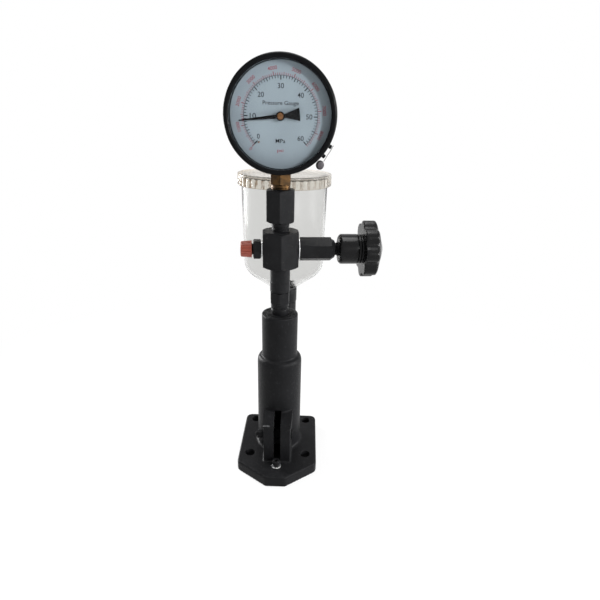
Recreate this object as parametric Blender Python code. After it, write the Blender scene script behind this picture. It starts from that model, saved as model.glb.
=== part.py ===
"""Diesel injector tester: a hand pump column with a pressure gauge, a shut-off valve and a fuel cup.

Everything is in metres. +X is to the right, -Y is the front, +Z is up. The pump's axis is x = y = 0
and the underside of the base plate is z = 0.
"""

import math

import bmesh
import bpy
from mathutils import Matrix, Vector

# Clearances
GAP = 0.0003            # between two pieces that touch, or that slide on each other
CUT = 0.001             # how far a cutter runs past the face that it opens
BITE = 0.0004           # how far two shapes of one casting reach into each other
HEX_TURNING = 0.0004    # how far a hexagon's turned end face is inside its flats

# Facets round a full turn
BIG = 44
COLUMN = 32
MIDDLE = 20
SMALL = 14
TINY = 10

# Base plate
PLATE_THICK = 0.012
PLATE_HALF_WIDTH = 0.0440
PLATE_REAR = 0.0452
PLATE_SIDE_END = -0.0438        # where the straight sides end and the taper to the nose starts
PLATE_NOSE = -0.0686
PLATE_NOSE_HALF = 0.0103
PLATE_CORNER = 0.0070
PLATE_EDGE = 0.0016
BOLT_HOLE_R = 0.0052
BOLT_HOLE_X = 0.0313
BOLT_HOLE_FRONT = -0.0291
BOLT_HOLE_REAR = 0.0344

# Column
LOWER_R = 0.0245
UPPER_R = 0.0194
COLUMN_TOP = 0.1740
UPPER_LENGTH = 0.0480
SHOULDER_HIGH = COLUMN_TOP - UPPER_LENGTH
SHOULDER = 0.0090               # height of the rounded step
SHOULDER_LOW = SHOULDER_HIGH - SHOULDER
COLUMN_EDGE = 0.0008
FOOT_FILLET = 0.0025

# Ears and lever slot
EAR_FRONT_HALF = 0.0144         # half the ears' width at their front, which grows to the rear
EAR_REAR_HALF = 0.0156
EAR_REAR = -0.0180
EAR_FRONT = -0.0432
EAR_TOP_FRONT = 0.0597          # the ears' top slopes up from here to the column
EAR_TOP_REAR = 0.0648
EAR_CAP = 0.0024                # thickness of the cap that stands proud on top of the ears
EAR_LIP = 0.0008                # by how much it stands proud
SLOT_WIDTH = 0.0078
SLOT_TOP = 0.0660               # in the column; between the ears the slot is open at the top

# Lever knuckle, pivot pin and the pump's stroke
PIVOT_Y = -0.0280
PIVOT_Z = 0.0374
PIN_R = 0.0047
KNUCKLE_R = 0.0085
KNUCKLE_FRONT = 0.0075          # from the pivot to the knuckle's front end
NOSE_REACH = 0.0280             # from the pivot to the nose that lifts the tappet
NOSE_R = 0.0040
SWING = math.radians(20)        # the nose swings as far above the pivot as below it
SOCKET_R = 0.0025
SOCKET_WEB = 0.0010             # what is left between the lever's socket and the pin's hole
CLIP_R = 0.0060
CLIP_THICK = 0.0009
CLIP_GROOVE = 0.0009
PIN_SEAT = 0.0148               # from the middle to the flats under the clips
PIN_HEAD = 0.0008               # what the pin keeps outside its right clip
PIN_STUB = 0.0063               # what it keeps outside its left clip
NIPPLE_R = 0.0025
NIPPLE_LENGTH = 0.0024
NIPPLE_THREAD_R = 0.0015
NIPPLE_THREAD = 0.0035

# Tappet, plunger and spring
TAPPET_R = 0.0110
TAPPET_FLOOR = 0.0050
TAPPET_HEIGHT = 0.0200
TAPPET_WALL = 0.0028
BORE_FLOOR = 0.0270
FOOT_R = 0.0055
FOOT_HEIGHT = 0.0030
PLATE_SEAT_THICK = 0.0020
PLUNGER_R = 0.0040
PLUNGER_TOP = 0.1385
SPRING_WIRE_R = 0.0008
SPRING_MEAN_R = 0.0064
SPRING_TURNS = 6

# Barrel and delivery valve
BARREL_STEP = 0.0995
BARREL_BORE_R = 0.0135
BARREL_R = 0.0110
BARREL_FLANGE = 0.0100
BARREL_INSET = 0.0225           # how far below the column's top the barrel ends
BARREL_TOP = COLUMN_TOP - BARREL_INSET
SEAT_HEIGHT = 0.0070
SEAT_BORE_R = 0.0024
VALVE_LIFT = 0.0015
VALVE_HEAD_R = 0.0042
VALVE_HEAD = 0.0030
VALVE_CHAMBER_R = 0.0056
DELIVERY_WIRE_R = 0.0005
DELIVERY_MEAN_R = 0.0034
DELIVERY_TURNS = 3
CHAMBER_HEIGHT = 0.0160

# Outlet fitting and riser tube
PLUG_PROUD = 0.0003
NECK_R = 0.0094
HOLDER_NECK = 0.0118            # what shows between the column and the hexagon
HOLDER_HEX_LOW = COLUMN_TOP + HOLDER_NECK
HOLDER_HEX = 0.0132
HOLDER_HEX_HIGH = HOLDER_HEX_LOW + HOLDER_HEX
HOLDER_HEX_AF = 0.0190
HOLDER_SPIGOT_R = 0.0068
HOLDER_SPIGOT = 0.0140
FEED_BORE_R = 0.0020
RISER_R = 0.0105
RISER_SPIGOT_R = 0.0080
RISER_SPIGOT = 0.0110

# Manifold
RISER_SHOWN = 0.0275            # what shows of the riser tube under the manifold
MANIFOLD_LOW = HOLDER_HEX_HIGH + RISER_SHOWN
MANIFOLD_HEIGHT = 0.0370
MANIFOLD_HIGH = MANIFOLD_LOW + MANIFOLD_HEIGHT
MANIFOLD_AF = 0.0360
MANIFOLD_TURNED_R = 0.0179
MANIFOLD_TURN = math.radians(6)     # how far the manifold was screwed past the front
PORT_UP = 0.0181                # height of the side ports above the manifold's lower end
PORT_Z = MANIFOLD_LOW + PORT_UP
PORT_BORE_R = 0.0030
VALVE_THREAD_R = 0.0070
OUTLET_THREAD_R = 0.0060
PORT_SHOULDER = 0.0092          # from the axis to the inner end of each side thread
SIDE_WASHER = 0.0010
VALVE_WASHER_R = 0.0120
OUTLET_WASHER_R = 0.0088

# Injector outlet on the left and its cap
OUTLET_HEX_AF = 0.0180
OUTLET_HEX = 0.0080
OUTLET_END = 0.0380
OUTLET_CONE = 0.0342
OUTLET_TIP_R = 0.0032
CAP_INNER_END = 0.0290
CAP_OUTER_END = 0.0403
CAP_WIDE_R = 0.0087
CAP_NARROW_R = 0.0078
CAP_RIBS = 12
CAP_TRAVEL = 0.0250

# Shut-off valve on the right
VALVE_HEX_AF = 0.0220
VALVE_HEX_TURN = math.radians(4)
VALVE_HEX_END = 0.0516
VALVE_END = 0.0552
VALVE_END_R = 0.0086
VALVE_SEAT_X = 0.0250
NEEDLE_CHAMBER_R = 0.0050
NEEDLE_R = 0.0042
NEEDLE_POINT_R = 0.0012
NEEDLE_LENGTH = 0.0130
SPINDLE_R = 0.0067
SPINDLE_BORE_X = 0.0400
SPINDLE_END = 0.0712
SPINDLE_RING_R = 0.0074
SPINDLE_RING = 0.0010
SPINDLE_TONGUE_R = 0.0030
SPINDLE_TONGUE = 0.0030
HUB_START = 0.0595
HUB_R = 0.0154
HUB_CHAMFER = 0.0030
STAR_BACK = 0.0834
STAR_RIM_END = 0.0950
STAR_FRONT = 0.0980
STAR_APEX = 0.1060
STAR_R = 0.0294
STAR_VALLEY = 0.0042
STAR_LOBES = 8
VALVE_PITCH = 0.0015
VALVE_TURNS = 2

# Gauge adapter and gauge stem
ADAPTER_THREAD_R = 0.0080
ADAPTER_THREAD = 0.0115
ADAPTER_NECK_R = 0.0089
ADAPTER_NECK = 0.0088           # what shows of the neck under the adapter's hexagon
ADAPTER_LOW = MANIFOLD_HIGH + ADAPTER_NECK
ADAPTER_HEX = 0.0322
ADAPTER_HIGH = ADAPTER_LOW + ADAPTER_HEX
ADAPTER_AF = 0.0270
ADAPTER_TURNED_R = 0.0128
STEM_THREAD_R = 0.0069
STEM_THREAD = 0.0140
GAUGE_WASHER = 0.0010
STEM_COLLAR_R = 0.0094
STEM_COLLAR = 0.0030
STEM_HEX_AF = 0.0190
STEM_NECK_R = 0.0079
STEM_BLOCK = 0.0072             # half the width of the block inside the case

# Pressure gauge
GAUGE_FRONT = -0.0217
CASE_R = 0.0475
BEZEL_OVER = 0.0030             # how far the ring stands out past the case
BEZEL_R = CASE_R + BEZEL_OVER
STEM_SHOWN = 0.0148             # from the adapter up to the ring
GAUGE_Z = ADAPTER_HIGH + STEM_SHOWN + BEZEL_R       # the dial's centre
STEM_BLOCK_DROP = 0.0263        # from the dial's centre down to the block in the case
STEM_BLOCK_TOP = GAUGE_Z - STEM_BLOCK_DROP
BEZEL_RAIL = 0.0053             # width of the ring's face
BEZEL_LIP_R = BEZEL_R - BEZEL_RAIL
BEZEL_LIP = 0.0018
BEZEL_SKIRT_END = -0.0085
BEZEL_ROUND = 0.0022
CASE_WALL = 0.0015
CASE_REAR = 0.0140
CASE_ROUND = 0.0040
WINDOW_THICK = 0.0020
DIAL_Y = -0.0100                # the dial's front face
DIAL_THICK = 0.0010
POINTER_Y = -0.0145
POINTER_THICK = 0.0006
POINTER_REACH = 0.0375
POINTER_TAIL = 0.0176
POINTER_TAIL_HALF = 0.0056
POINTER_HUB_R = 0.0036
HUB_DISC_R = 0.0040
HUB_DISC = 0.0010
HUB_SLOT = 0.0009
ARBOR_R = 0.0012
ARBOR_HOLE_R = 0.0018
ARBOR_END = -0.0050
SCALE_ZERO = math.radians(225)          # anticlockwise from +X, seen from the front
SCALE_FULL = math.radians(-45)
FULL_PRESSURE = 60.0
SHOWN_PRESSURE = 8.6
STOP_PIN_R = 0.0007
STOP_PIN_RADIUS = 0.0296
STOP_PIN_ANGLE = math.radians(228.8)
MOVEMENT_HALF = 0.0110
MOVEMENT_LOW = -0.0170
MOVEMENT_HIGH = 0.0160
MOVEMENT_PLATE = 0.0016
MOVEMENT_REAR = 0.0020
BOURDON_R = 0.0330
BOURDON_WIDE = 0.0080
BOURDON_DEEP = 0.0040
BOURDON_START = math.radians(-76)
BOURDON_SWEEP = math.radians(248)
LINK_HALF = 0.0010

# Seal on the gauge
LUG_R = 0.0019
LUG_HEIGHT = 0.0024
LUG_Y = -0.0150
LUG_ANGLES = (math.radians(-28.5), math.radians(-39.6))
SEAL_R = 0.0042
SEAL_THICK = 0.0032
SEAL_REACH = BEZEL_R + SEAL_R + GAP
SEAL_ANGLE = math.radians(-48.0)
SEAL_TILT = math.radians(32)
SEAL_WIRE_R = 0.0004

# Fuel cup, which stands behind the column
CUP_WALL = 0.0024
CUP_FOOT_R = 0.0160
CUP_TOP_R = 0.0479
CUP_TAPER = 0.0015              # how much narrower the cup's wall is at its foot
CUP_LOW_R = CUP_TOP_R - CUP_TAPER
CUP_SHOULDER = 0.0089
CUP_CONE_R = CUP_LOW_R - CUP_SHOULDER
CUP_SPIGOT_R = 0.0120
CUP_OUTLET_R = 0.0050
GASKET_THICK = 0.0010
SEAT_R = 0.0159
SEAT_GROOVE = 0.0012
SEAT_LOW_R = 0.0153
SEAT_PASSAGE_R = 0.0040
FEED_INSET = 0.0225             # how far below the column's top the fluid comes in
FEED_Z = COLUMN_TOP - FEED_INSET
SEAT_BELOW = 0.0120             # the cup's seat reaches this far below the feed
SEAT_LOW = FEED_Z - SEAT_BELOW
SEAT_GROOVE_UP = 0.0102
SEAT_GROOVE_Z = FEED_Z + SEAT_GROOVE_UP
SEAT_SOCKET_UP = 0.0145
SEAT_SOCKET_FLOOR = FEED_Z + SEAT_SOCKET_UP
CUP_SPIGOT = 0.0127
SPIGOT_CLEAR = 0.0020           # from the socket's floor to the cup's spigot
CUP_SPIGOT_LOW = SEAT_SOCKET_FLOOR + SPIGOT_CLEAR
CUP_FOOT_Z = CUP_SPIGOT_LOW + CUP_SPIGOT
CUP_CONE = 0.0158               # heights of the cup's cone, shoulder and wall
CUP_CONE_Z = CUP_FOOT_Z + CUP_CONE
CUP_CORNER = 0.0170
CUP_LOW_Z = CUP_CONE_Z + CUP_CORNER
CUP_HEIGHT = 0.0950
CUP_TOP_Z = CUP_LOW_Z + CUP_HEIGHT
FEED_R = 0.0080
FEED_SPIGOT_R = 0.0065
FEED_PASSAGE_R = 0.0025
FEED_HEX_AF = 0.0240
FEED_HEX = 0.0100
FEED_PAD_Y = 0.0178             # the flat pad that is milled on the column for the feed stud
FEED_PAD_R = 0.0142
FEED_THREAD = 0.0036
SEAT_PAD = 0.0142               # from the cup's axis to the flat that the stud meets
DRAIN_PLUG_AF = 0.0170
DRAIN_PLUG = 0.0060
DRAIN_THREAD_R = 0.0060
DRAIN_THREAD = 0.0040

# Cup lid
LID_OVER = 0.0041               # how far the lid stands out past the cup's mouth
LID_R = CUP_TOP_R + LID_OVER
CUP_BEHIND = 0.0180             # from the column's axis to the lid
CUP_Y = CUP_BEHIND + LID_R
LID_RIB = 0.0009
LID_RIBS = 40
LID_SKIRT = 0.0085              # how far the lid reaches down over the cup
LID_LOW = CUP_TOP_Z - LID_SKIRT
LID_HEIGHT = 0.0130
LID_HIGH = LID_LOW + LID_HEIGHT
LID_EDGE = 0.0012
LID_RIM = 0.0030                # the plain band above the ribs
LINER_WIDE = 0.0039
LINER_INNER_R = CUP_TOP_R - LINER_WIDE
LINER_THICK = 0.0015
LID_PITCH = 0.0040
LID_TURNS = 2

# Lever stop screw
STOP_Y = -0.0504
STOP_WASHER_R = 0.0054
STOP_WASHER = 0.0010
STOP_HEAD_R = 0.0041
STOP_HEAD = 0.0062
STOP_THREAD_R = 0.0029
STOP_THREAD = 0.0085
STOP_SOCKET_AF = 0.0040
STOP_SOCKET_DEPTH = 0.0025

ORIGIN = Vector((0, 0, 0))
TURNED_TO = {
    "X": Matrix.Rotation(math.radians(90), 4, "Y"),
    "-X": Matrix.Rotation(math.radians(-90), 4, "Y"),
    "Y": Matrix.Rotation(math.radians(-90), 4, "X"),
    "Z": Matrix.Identity(4),
}


def material(name, colour, roughness, metallic, alpha=1.0):
    """A plain Principled material."""
    new = bpy.data.materials.new(name)
    new.use_nodes = True
    shader = new.node_tree.nodes["Principled BSDF"]
    shader.inputs["Base Color"].default_value = (*colour, 1)
    shader.inputs["Roughness"].default_value = roughness
    shader.inputs["Metallic"].default_value = metallic
    shader.inputs["Alpha"].default_value = alpha
    return new


def object_of(name, mesh, axis="Z", at=ORIGIN, turn=0.0):
    """Make an object of a bmesh whose own Z lies along the axis, through a point."""
    bmesh.ops.recalc_face_normals(mesh, faces=mesh.faces)
    mesh.transform(Matrix.Translation(at) @ TURNED_TO[axis] @ Matrix.Rotation(turn, 4, "Z"))
    data = bpy.data.meshes.new(name)
    mesh.to_mesh(data)
    mesh.free()
    new = bpy.data.objects.new(name, data)
    bpy.context.collection.objects.link(new)
    return new


def lathe(name, profile, steps=MIDDLE, axis="Z", at=ORIGIN, turn=0.0):
    """Turn a profile of (radius, height) points. It is closed, or starts and ends on the axis."""
    mesh = bmesh.new()
    verts = [mesh.verts.new((radius, 0, height)) for radius, height in profile]
    pairs = list(zip(verts, verts[1:]))
    if profile[0][0] > 0:
        pairs.append((verts[-1], verts[0]))
    edges = [mesh.edges.new(pair) for pair in pairs]
    bmesh.ops.spin(mesh, geom=verts + edges, cent=(0, 0, 0), axis=(0, 0, 1),
                   angle=math.tau, steps=steps, use_merge=True)
    bmesh.ops.remove_doubles(mesh, verts=mesh.verts, dist=1e-6)
    return object_of(name, mesh, axis, at, turn)


def rod(name, radius, low, high, steps=MIDDLE, axis="Z", at=ORIGIN, turn=0.0):
    """A plain round bar."""
    return lathe(name, [(0, low), (radius, low), (radius, high), (0, high)], steps, axis, at, turn)


def hex_bar(name, across_flats, low, high, axis="Z", at=ORIGIN, turn=0.0, turned_r=0.0):
    """A hexagon bar with two flats facing its first cross direction, its ends turned to a radius."""
    corner = across_flats / 2 / math.cos(math.pi / 6)
    bar = rod(name, corner, low, high, 6, axis, at, turn + math.pi / 6)
    if turned_r:
        slope = (corner - turned_r) * math.tan(math.radians(30))
        far = corner + CUT
        rise = slope * (far - turned_r) / (corner - turned_r)
        profile = [(0, low), (turned_r, low), (far, low + rise), (far, high - rise), (turned_r, high), (0, high)]
        boolean(bar, lathe(name + "_turning", profile, MIDDLE, axis, at, turn), "INTERSECT")
    return bar


def extrude(name, outline, low, high, axis="Z", at=ORIGIN):
    """Extrude a closed outline of (x, y) points from one height to another."""
    mesh = bmesh.new()
    face = mesh.faces.new([mesh.verts.new((x, y, low)) for x, y in outline])
    grown = bmesh.ops.extrude_face_region(mesh, geom=[face])
    lifted = [item for item in grown["geom"] if isinstance(item, bmesh.types.BMVert)]
    bmesh.ops.translate(mesh, verts=lifted, vec=(0, 0, high - low))
    return object_of(name, mesh, axis, at)


def block(name, low, high):
    """A box between two corners."""
    outline = [(low[0], low[1]), (high[0], low[1]), (high[0], high[1]), (low[0], high[1])]
    return extrude(name, outline, low[2], high[2])


def arc(centre, radius, start, end, steps):
    """Points on an arc, from one angle to another."""
    points = []
    for step in range(steps + 1):
        angle = start + (end - start) * step / steps
        points.append((centre[0] + radius * math.cos(angle), centre[1] + radius * math.sin(angle)))
    return points


def rounded(corners, radius, steps=5):
    """Round the corners of an anticlockwise outline."""
    points = []
    for index, corner in enumerate(corners):
        here = Vector(corner)
        back = (Vector(corners[index - 1]) - here).normalized()
        ahead = (Vector(corners[(index + 1) % len(corners)]) - here).normalized()
        half_angle = back.angle(ahead) / 2
        centre = here + (back + ahead).normalized() * radius / math.sin(half_angle)
        touch = here + back * radius / math.tan(half_angle)
        start = math.atan2(touch.y - centre.y, touch.x - centre.x)
        points += arc(centre, radius, start, start + math.pi - 2 * half_angle, steps)
    return points


def boolean(target, tool, operation):
    """Cut, join or keep what two shapes share, and use the tool up."""
    modifier = target.modifiers.new(operation.title(), "BOOLEAN")
    modifier.operation = operation
    modifier.object = tool
    graph = bpy.context.evaluated_depsgraph_get()
    finished = bpy.data.meshes.new_from_object(target.evaluated_get(graph))
    mesh = bmesh.new()
    mesh.from_mesh(finished)
    bmesh.ops.remove_doubles(mesh, verts=mesh.verts, dist=2e-6)
    bmesh.ops.dissolve_limit(mesh, angle_limit=math.radians(0.01), verts=mesh.verts, edges=mesh.edges)
    mesh.to_mesh(finished)
    mesh.free()
    before = target.data
    target.modifiers.clear()
    target.data = finished
    bpy.data.meshes.remove(before)
    bpy.data.objects.remove(tool, do_unlink=True)


def cut(target, *tools):
    """Take each tool away from the target."""
    for tool in tools:
        boolean(target, tool, "DIFFERENCE")


def join(target, *tools):
    """Make one body of the target and each tool."""
    for tool in tools:
        boolean(target, tool, "UNION")


def tube_along(name, points, radius, sides=8):
    """A round wire along a run of points."""
    curve = bpy.data.curves.new(name, "CURVE")
    curve.dimensions = "3D"
    curve.bevel_depth = radius
    curve.bevel_resolution = (sides - 4) // 2
    curve.use_fill_caps = True
    spline = curve.splines.new("POLY")
    spline.points.add(len(points) - 1)
    for point, place in zip(spline.points, points):
        point.co = (*place, 1)
    new = bpy.data.objects.new(name, curve)
    bpy.context.collection.objects.link(new)
    return new


def coil(name, mean_r, wire_r, low, high, turns, points_per_turn=9):
    """A compression spring that stands on the Z axis between two heights."""
    count = turns * points_per_turn
    points = []
    for step in range(count + 1):
        angle = math.tau * step / points_per_turn
        height = low + wire_r + (high - low - 2 * wire_r) * step / count
        points.append((mean_r * math.cos(angle), mean_r * math.sin(angle), height))
    least = (high - low - 2 * wire_r) / turns - 2 * wire_r
    print(f"{name}: least gap between turns {least * 1000:.2f} mm")
    return tube_along(name, points, wire_r, 6)


def finish(piece, look, origin=ORIGIN, angle=35):
    """Give a piece its look, its origin, and smooth round faces with sharp edges."""
    origin = Vector(origin)
    piece.data.transform(Matrix.Translation(-origin))
    piece.location = origin
    piece.data.materials.clear()
    piece.data.materials.append(look)
    if isinstance(piece.data, bpy.types.Mesh):
        piece.data.shade_smooth()
        piece.data.set_sharp_from_angle(angle=math.radians(angle))
    return piece


def around_gauge(radius, angle, y):
    """A point at a radius and an angle round the gauge's centre."""
    return Vector((radius * math.cos(angle), y, GAUGE_Z + radius * math.sin(angle)))


def build_ears(proud, low_rear, low_front):
    """The block that the slot parts into two ears, from a lower line up to its sloping top, with drafted sides."""
    front = EAR_FRONT - proud
    rear = -LOWER_R * 0.9
    ears = extrude("ears", [
        (0, low_rear), (0, EAR_TOP_REAR), (-rear, EAR_TOP_REAR), (-front, EAR_TOP_FRONT),
        (-front, low_front), (-rear, low_rear),
    ], -EAR_REAR_HALF - proud, EAR_REAR_HALF + proud)
    ears.data.transform(Matrix(((0, 0, 1, 0), (-1, 0, 0, 0), (0, 1, 0, 0), (0, 0, 0, 1))))
    draft = (EAR_REAR_HALF - EAR_FRONT_HALF) / (EAR_REAR - EAR_FRONT)
    front_half = EAR_FRONT_HALF + proud - draft * (proud + CUT)
    rear_half = EAR_REAR_HALF + proud + CUT * draft
    boolean(ears, extrude("draft", [
        (-front_half, front - CUT), (front_half, front - CUT), (rear_half, EAR_REAR + CUT),
        (rear_half, CUT), (-rear_half, CUT), (-rear_half, EAR_REAR + CUT),
    ], 0, EAR_TOP_REAR + CUT), "INTERSECT")
    return ears


def build_casting(look):
    """Base plate, stepped column, ears with the lever slot, and the pump's stepped bore."""
    corners = [
        (-PLATE_NOSE_HALF, PLATE_NOSE), (PLATE_NOSE_HALF, PLATE_NOSE),
        (PLATE_HALF_WIDTH, PLATE_SIDE_END), (PLATE_HALF_WIDTH, PLATE_REAR),
        (-PLATE_HALF_WIDTH, PLATE_REAR), (-PLATE_HALF_WIDTH, PLATE_SIDE_END),
    ]
    casting = extrude("body_casting", rounded(corners, PLATE_CORNER), 0, PLATE_THICK)
    mesh = bmesh.new()
    mesh.from_mesh(casting.data)
    rim = [edge for edge in mesh.edges if all(vert.co.z > PLATE_THICK / 2 for vert in edge.verts)]
    bmesh.ops.bevel(mesh, geom=rim, offset=PLATE_EDGE, segments=2, profile=0.5, affect="EDGES")
    mesh.to_mesh(casting.data)
    mesh.free()

    shoulder_drop = SHOULDER_HIGH - SHOULDER_LOW
    shoulder_in = LOWER_R - UPPER_R
    shoulder = []
    for step in range(5):
        angle = math.pi / 2 * step / 4
        shoulder.append((UPPER_R + shoulder_in * math.cos(angle) ** 0.8,
                         SHOULDER_LOW + shoulder_drop * math.sin(angle) ** 1.25))
    column = lathe("column", [
        (0, PLATE_THICK - FOOT_FILLET), (LOWER_R + FOOT_FILLET, PLATE_THICK - FOOT_FILLET),
        (LOWER_R + FOOT_FILLET, PLATE_THICK + BITE / 4), (LOWER_R + FOOT_FILLET * 0.3, PLATE_THICK + FOOT_FILLET * 0.3),
        (LOWER_R, PLATE_THICK + FOOT_FILLET), *shoulder,
        (UPPER_R, COLUMN_TOP - COLUMN_EDGE), (UPPER_R - COLUMN_EDGE, COLUMN_TOP), (0, COLUMN_TOP),
    ], COLUMN)
    join(casting, column, build_ears(0, PLATE_THICK - FOOT_FILLET, PLATE_THICK - FOOT_FILLET),
         build_ears(EAR_LIP, EAR_TOP_REAR - EAR_CAP, EAR_TOP_FRONT - EAR_CAP))

    tappet_bore_r = TAPPET_R + GAP
    cut(casting, lathe("bore", [
        (0, BORE_FLOOR), (tappet_bore_r, BORE_FLOOR), (tappet_bore_r, BARREL_STEP),
        (BARREL_BORE_R, BARREL_STEP), (BARREL_BORE_R, COLUMN_TOP + CUT), (0, COLUMN_TOP + CUT),
    ], MIDDLE))
    half_slot = SLOT_WIDTH / 2
    column_face = -math.sqrt(LOWER_R ** 2 - half_slot ** 2)
    cut(casting, block("ear_slot", (-half_slot, EAR_FRONT - EAR_LIP - CUT, PLATE_THICK), (half_slot, column_face, EAR_TOP_REAR + CUT)),
        block("slot", (-half_slot, -LOWER_R - CUT, PLATE_THICK), (half_slot, 0, SLOT_TOP)))
    cut(casting, rod("pin_hole", PIN_R + GAP, -EAR_REAR_HALF - CUT, EAR_REAR_HALF + CUT, SMALL, "X",
                     (0, PIVOT_Y, PIVOT_Z)))
    for axis in ("X", "-X"):
        cut(casting, rod("clip_face", CLIP_R + 2 * GAP, PIN_SEAT, LOWER_R, MIDDLE, axis, (0, PIVOT_Y, PIVOT_Z)))
    for x in (-BOLT_HOLE_X, BOLT_HOLE_X):
        for y in (BOLT_HOLE_FRONT, BOLT_HOLE_REAR):
            cut(casting, rod("bolt_hole", BOLT_HOLE_R, -CUT, PLATE_THICK + CUT, SMALL, "Z", (x, y, 0)))
    cut(casting, rod("stop_hole", STOP_THREAD_R + GAP, PLATE_THICK - STOP_THREAD - CUT, PLATE_THICK + CUT, TINY, "Z",
                     (0, STOP_Y, 0)))
    cut(casting, rod("feed_pad", FEED_PAD_R, FEED_PAD_Y, LOWER_R + CUT, MIDDLE, "Y", (0, 0, FEED_Z)))
    cut(casting, rod("feed_hole", FEED_SPIGOT_R + GAP, BARREL_R, FEED_PAD_Y + CUT, SMALL, "Y", (0, 0, FEED_Z)))
    finish(casting, look)


def build_lever(steel, bright):
    """The knuckle that lifts the tappet, and its pivot pin with two clips and a grease nipple."""
    dip = SWING / 2
    nose = (NOSE_REACH * math.cos(dip), -NOSE_REACH * math.sin(dip))
    under = -dip - math.acos((KNUCKLE_R - NOSE_R) / NOSE_REACH)
    relief = -math.radians(9)
    along = Vector((-math.cos(dip), math.sin(dip)))
    across = Vector((math.sin(dip), math.cos(dip)))
    outline = arc((0, 0), KNUCKLE_R, relief, math.pi / 2 - dip, 5)
    for forward, up in ((-0.0010, 0), (0, -0.0010)):
        outline.append(tuple(along * (KNUCKLE_FRONT + forward) + across * (KNUCKLE_R + up)))
    for forward, up in ((0, 0.0010), (-0.0010, 0)):
        outline.append(tuple(along * (KNUCKLE_FRONT + forward) - across * (KNUCKLE_R - up)))
    outline += arc((0, 0), KNUCKLE_R, -math.pi / 2 - dip, under, 2)
    outline += arc(nose, NOSE_R, under, math.radians(120), 9)
    clear_of_tappet = -PIVOT_Y - TAPPET_R
    outline.append((clear_of_tappet + 0.0010, nose[1] + NOSE_R - 0.0015))
    half = SLOT_WIDTH / 2 - GAP
    knuckle = extrude("lever_knuckle", outline, -half, half)
    knuckle.data.transform(Matrix(((0, 0, 1, 0), (1, 0, 0, 0), (0, 1, 0, 0), (0, 0, 0, 1))))
    cut(knuckle, rod("eye", PIN_R + GAP, -half - CUT, half + CUT, SMALL, "X"))
    socket_depth = KNUCKLE_FRONT - PIN_R - GAP - SOCKET_WEB
    socket = rod("socket", SOCKET_R, -KNUCKLE_FRONT - CUT, -KNUCKLE_FRONT + socket_depth, TINY, "Y")
    socket.data.transform(Matrix.Rotation(-dip, 4, "X"))
    cut(knuckle, socket)
    knuckle.data.transform(Matrix.Translation((0, PIVOT_Y, PIVOT_Z)))
    finish(knuckle, steel, (0, PIVOT_Y, PIVOT_Z))

    pivot = (0, PIVOT_Y, PIVOT_Z)
    clip_low = PIN_SEAT + GAP
    clip_high = clip_low + CLIP_THICK
    groove_r = PIN_R - CLIP_GROOVE
    right_end = clip_high + PIN_HEAD
    left_end = clip_high + PIN_STUB
    profile = [(0, -left_end), (PIN_R, -left_end)]
    for side in (-1, 1):
        low, high = sorted((side * (clip_low - GAP / 2), side * (clip_high + GAP)))
        profile += [(PIN_R, low), (groove_r, low), (groove_r, high), (PIN_R, high)]
    profile += [(PIN_R, right_end), (0, right_end)]
    pin = lathe("pivot_pin", profile, SMALL, "X", pivot)
    cut(pin, rod("nipple_hole", NIPPLE_THREAD_R + GAP, left_end - NIPPLE_THREAD - GAP, left_end + CUT, TINY, "-X", pivot))
    finish(pin, steel, pivot)
    seat = left_end + GAP
    finish(lathe("grease_nipple", [
        (0, left_end - NIPPLE_THREAD), (NIPPLE_THREAD_R, left_end - NIPPLE_THREAD), (NIPPLE_THREAD_R, seat),
        (NIPPLE_R, seat), (NIPPLE_R, seat + NIPPLE_LENGTH * 0.45), (NIPPLE_R * 0.55, seat + NIPPLE_LENGTH * 0.6),
        (NIPPLE_R * 0.7, seat + NIPPLE_LENGTH * 0.8), (NIPPLE_R * 0.4, seat + NIPPLE_LENGTH),
        (0, seat + NIPPLE_LENGTH),
    ], TINY, "-X", pivot), bright)
    for side, name in ((-1, "pin_clip_left"), (1, "pin_clip_right")):
        middle = side * (clip_low + CLIP_THICK / 2)
        low, high = middle - CLIP_THICK / 2, middle + CLIP_THICK / 2
        clip = lathe(name, [(groove_r + GAP, low), (CLIP_R, low), (CLIP_R, high), (groove_r + GAP, high)],
                     SMALL, "X", pivot)
        mouth = (PIVOT_Y - groove_r * 0.8, PIVOT_Z - CLIP_R - CUT)
        cut(clip, block("clip_mouth", (low - CUT, mouth[0], mouth[1]),
                        (high + CUT, PIVOT_Y + groove_r * 0.8, PIVOT_Z)))
        finish(clip, steel)


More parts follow.
